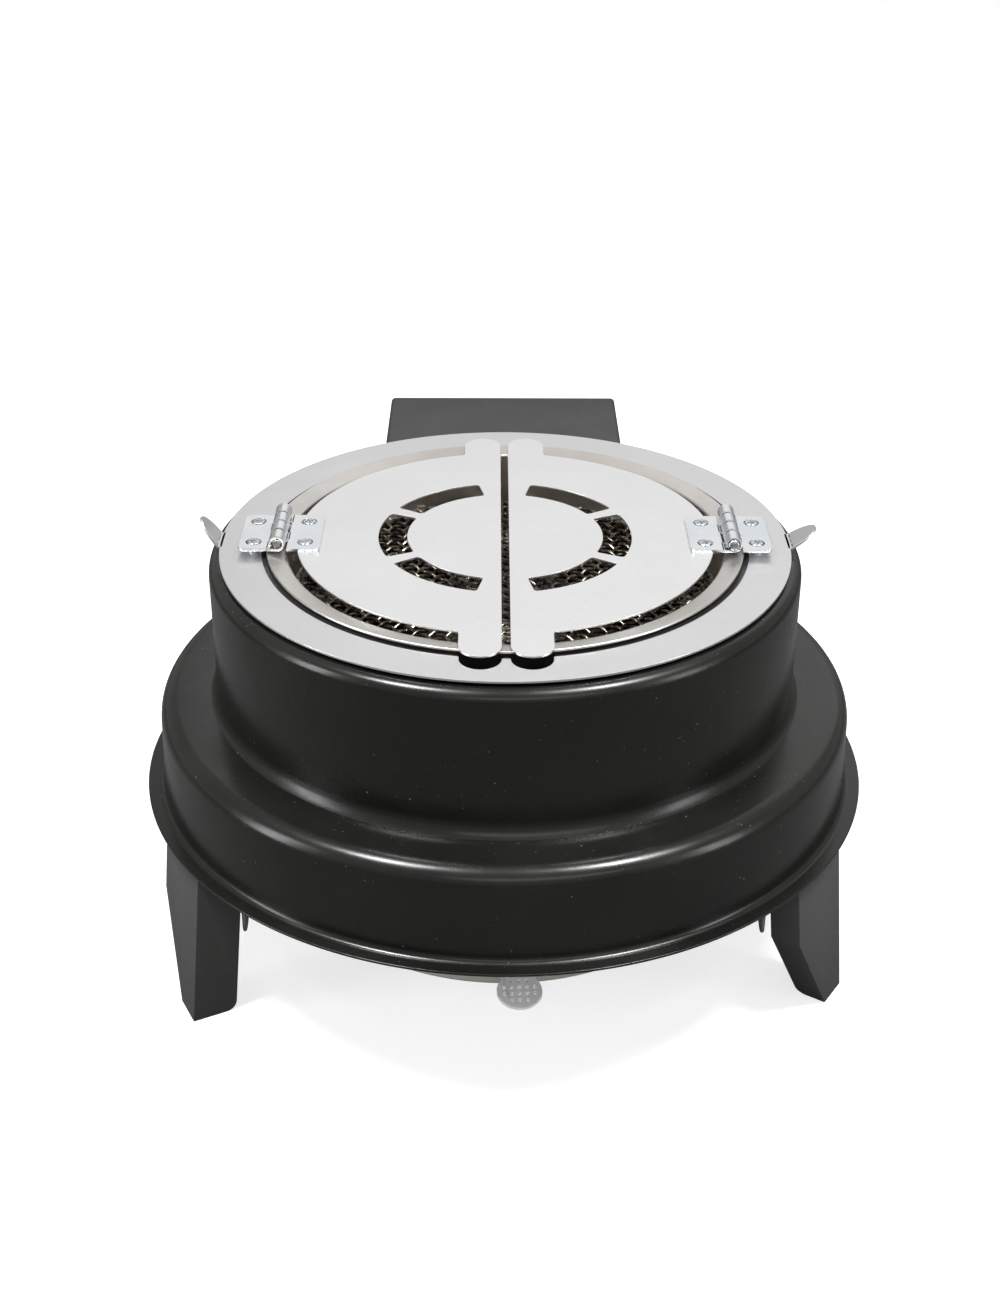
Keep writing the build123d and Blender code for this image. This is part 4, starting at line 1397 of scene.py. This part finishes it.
    def build(self) -> None:
        """Builds both hinges."""
        ring_leaf, lid_leaf = self.leaf(1, (1, 3)), self.leaf(-1, (0, 2))
        pin, screw = self.pin(), self.screw()
        ring_screws: list[Piece] = []
        seat_z = self.pin_z - self.barrel + self.gauge
        for hand, turn in (("right", 0.0), ("left", 180.0)):
            spin = upright_turn(turn)
            body = f"lid_{hand}_body"
            for source, finish, name, rides, node in (
                (ring_leaf, HINGE_ZINC, "hinge_fixed_leaf_", "top_unit", "hinge_ring_leaf_"),
                (lid_leaf, HINGE_ZINC, "hinge_moving_leaf_", body, "hinge_lid_leaf_"),
                (pin, PIN_ZINC, "hinge_pivot_", "top_unit", "hinge_pin_"),
            ):
                fit_piece(about_axis(copy_of(source, spin, name + hand)), finish, rides, node + hand)
            lid_screws: list[Piece] = []
            for index, side in enumerate((-1, 1)):
                for x, heads in ((self.ring_screw_x, ring_screws), (self.lid_screw_x, lid_screws)):
                    slant = upright_turn(self.first_slant + self.side_slant * index + self.next_slant * len(heads))
                    place = Matrix.Translation((x * MM, side * self.screw_y * MM, seat_z * MM))
                    heads.append(about_axis(copy_of(screw, spin @ place @ slant)))
            heads = smooth(join("lid_screws_" + hand, lid_screws), SCREW_ANGLE)
            fit_piece(heads, SCREW_ZINC, body, "lid_leaf_screws_" + hand)
        heads = smooth(join("ring_screws", ring_screws + self.spacers()), SCREW_ANGLE)
        fit_piece(heads, SCREW_ZINC, "top_unit", "ring_leaf_screws")
        for source in (ring_leaf, lid_leaf, pin, screw):
            bpy.data.objects.remove(source)


# ----- burner
class Burner:
    """Cast head, cap, strap and mixing tube inside the housing."""

    def build(self) -> None:
        """Dresses the burner pieces."""
        FINISHES.dress_nodes(BURNER_IRON, "burner_head", "burner_cap")
        FINISHES.dress_nodes(PIPE_STEEL, "burner_strap", "mixing_tube")
        FINISHES.dress_nodes(RIVET_STEEL, "burner_bolt")


# ----- gas box
@dataclass
class GasBox:
    """Folded box behind the housing with valve, knob and gas inlet."""

    ease: float = 0.25
    left_sharp: float = 50.0

    def build(self) -> None:
        """Eases the box and dresses what it holds."""
        box = eased_copy("gas_box_cover_sheet", "gas_box", self.ease, self.left_sharp)
        fit_piece(box, BOX_ENAMEL, "housing", "gas_box")
        FINISHES.dress_nodes(BOX_ENAMEL, "gas_box_cover")
        FINISHES.dress_nodes(VALVE_BRASS, "gas_jet", "gas_valve", "valve_stem", "inlet_elbow")
        FINISHES.dress_nodes(SCREW_ZINC, "valve_nut", "inlet_nut")
        FINISHES.dress_nodes(KNOB_PLASTIC, "control_knob")


# ----- ash tray
@dataclass
class AshTray:
    """Pull-out dish with its perforated pull, and the two hangers."""

    middle: float = 0.5
    radius: float = 99.75
    lip: float = 105.0
    low: float = 22.5
    lip_z: float = 35.5
    gauge: float = 1.0
    floor_bend: float = 2.0
    lip_bend: float = 0.6
    root_r: float = 100.25
    tab_gauge: float = 1.2
    tab_edge: float = 0.25
    disc: float = 9.8
    disc_r: float = 117.0
    disc_rim: float = 1.6
    neck: float = 15.0
    drop: float = 9.0
    azimuth: float = 273.2
    hole_r: float = 0.75
    hole_columns: int = 4
    hole_rows: int = 5
    hole_pitch: Point = (3.6, 3.3)
    strap_ease: float = 0.25

    def build_dish(self) -> None:
        """Turns the dish with its lip."""
        line = [(self.middle, self.low), (self.radius, self.low), (self.radius, self.lip_z), (self.lip, self.lip_z)]
        outline = sheet_outline(line, [0, self.floor_bend, self.lip_bend, 0], self.gauge, 1)
        fit_piece(lathe("ash_dish", outline, 224), TRAY_STEEL, "tray_body", "ash_tray")

    def build_pull(self) -> None:
        """Models the round perforated pull under the front of the lip."""
        half = self.neck / 2.0
        meet = math.degrees(math.asin(half / self.disc))
        line = [(self.root_r, -half), (self.lip, -half)]
        line += arc((self.disc_r, 0.0), self.disc, meet - 180.0, 180.0 - meet, 7.5)
        line += [(self.lip, half), (self.root_r, half)]
        holes = []
        for column in range(self.hole_columns):
            for row in range(self.hole_rows):
                x = (column - (self.hole_columns - 1) / 2.0) * self.hole_pitch[0]
                y = (row - (self.hole_rows - 1) / 2.0) * self.hole_pitch[1]
                if math.hypot(x, y) < self.disc - self.disc_rim:
                    holes.append(circle((self.disc_r + x, y), self.hole_r, 12))
        pull = flat_piece("ash_pull", [line] + holes, self.lip_z - self.tab_gauge, self.lip_z, self.tab_edge)
        fall = math.tan(math.radians(self.drop))
        for vertex in pull.data.vertices:
            vertex.co.z -= max(vertex.co.x - self.lip * MM, 0.0) * fall
        pull.data.transform(upright_turn(self.azimuth))
        fit_piece(about_axis(pull), PULL_STEEL, "tray_body", "ash_tray_handle")

    def build(self) -> None:
        """Builds the dish, the pull and the hangers."""
        self.build_dish()
        self.build_pull()
        for node in ("tray_hanger_left", "tray_hanger_right"):
            hanger = eased_copy(node + "_strap", node, self.strap_ease)
            fit_piece(hanger, STRAP_STEEL, "housing", node)


# ----- studio
@dataclass(frozen=True)
class Lamp:
    """Soft lamp: its place and size in metres, its power in watts."""

    name: str
    place: Triple
    aim_z: float
    size: Point
    power: float

    def build(self) -> None:
        """Adds the lamp, turned towards the housing axis."""
        data = bpy.data.lights.new(self.name, "AREA")
        data.shape = "RECTANGLE"
        data.size, data.size_y = self.size
        data.energy = self.power
        lamp = bpy.data.objects.new(self.name, data)
        bpy.context.collection.objects.link(lamp)
        lamp.location = self.place
        aim = Vector((0.0, 0.0, self.aim_z)) - Vector(self.place)
        lamp.rotation_euler = aim.to_track_quat("-Z", "Y").to_euler()


LAMPS = (
    Lamp("back", (0.4, 1.5, 1.3), 0.15, (2.0, 1.3), 4.7),
    Lamp("key_left", (-0.5, -0.36, 1.3), 0.15, (0.26, 0.3), 20.0),
    Lamp("key_right", (0.5, -0.36, 1.3), 0.15, (0.26, 0.3), 20.0),
    Lamp("left", (-1.5, -0.55, 0.5), 0.1, (0.35, 0.9), 10.5),
    Lamp("right", (1.5, -0.75, 0.5), 0.1, (0.3, 0.8), 6.5),
    Lamp("front", (0.3, -1.7, 1.1), 0.1, (1.6, 0.3), 4.0),
)


@dataclass
class Studio:
    """Camera, lamps, world and pale floor."""

    camera_x: float = -5.6
    camera_y: float = -740.9
    camera_z: float = 543.9
    down: float = 28.97
    roll: float = 0.16
    lens: float = 66.97
    sensor: float = 36.0
    clip: Point = (0.01, 20.0)
    shift: Point = (0.008, 0.002)
    floor_size: float = 12.0
    floor_seen: Triple = (0.5, 0.5, 0.5)
    floor_unseen: Triple = (0.13, 0.13, 0.13)
    floor_glow: float = 0.72
    floor_roughness: float = 0.9
    room: float = 0.42
    white: tuple[float, ...] = (1.0, 1.0, 1.0, 1.0)

    def build_camera(self) -> None:
        """Sets the camera at the viewing angle."""
        data = bpy.data.cameras.new("camera")
        data.lens = self.lens
        data.sensor_fit = "HORIZONTAL"
        data.sensor_width = self.sensor
        data.shift_x, data.shift_y = self.shift
        data.clip_start, data.clip_end = self.clip
        camera = bpy.data.objects.new("camera", data)
        bpy.context.collection.objects.link(camera)
        place = Matrix.Translation((self.camera_x * MM, AXIS_Y + self.camera_y * MM, self.camera_z * MM))
        look = Matrix.Rotation(math.radians(90.0 - self.down), 4, "X")
        camera.matrix_world = place @ look @ upright_turn(self.roll)
        bpy.context.scene.camera = camera

    def build_floor(self) -> None:
        """Lays a wide pale floor, white to the camera and grey to the light."""
        deselect()
        bpy.ops.mesh.primitive_plane_add(size=self.floor_size, location=(0.0, 0.0, 0.0))
        floor = bpy.context.object
        floor.name = "floor"
        coat = Coat("pale_floor")
        coat.set(Roughness=self.floor_roughness, Specular_IOR_Level=0.0, Emission_Color=self.white)
        seen = coat.add("LightPath").outputs["Is Camera Ray"]
        coat.paint(coat.mix(seen, self.floor_unseen, self.floor_seen))
        coat.link(coat.remap(seen, 0.0, 1.0, 0.0, self.floor_glow), coat.surface.inputs["Emission Strength"])
        floor.data.materials.append(coat.material)

    def build_world(self) -> None:
        """Lights the room evenly, and shows it white to the camera."""
        world = bpy.data.worlds.new("room")
        world.use_nodes = True
        bpy.context.scene.world = world
        tree = world.node_tree
        back = tree.nodes["Background"]
        back.inputs["Color"].default_value = self.white
        path = tree.nodes.new("ShaderNodeLightPath")
        strength = tree.nodes.new("ShaderNodeMapRange")
        strength.inputs["To Min"].default_value = self.room
        strength.inputs["To Max"].default_value = 1.0
        tree.links.new(path.outputs["Is Camera Ray"], strength.inputs["Value"])
        tree.links.new(strength.outputs["Result"], back.inputs["Strength"])

    def build(self) -> None:
        """Sets the whole studio."""
        self.build_camera()
        self.build_floor()
        self.build_world()
        for lamp in LAMPS:
            lamp.build()
        bpy.context.scene.view_settings.view_transform = "Standard"


def main() -> None:
    """Builds the burner and its studio."""
    logging.basicConfig(level=logging.INFO, format="%(message)s")
    for part in (Housing(), TopRing(), Basket(), HalfLids(), Hinges(), Burner(), GasBox(), AshTray(), Studio()):
        LOG.info("building %s", type(part).__name__)
        part.build()


if __name__ == "__main__":
    main()
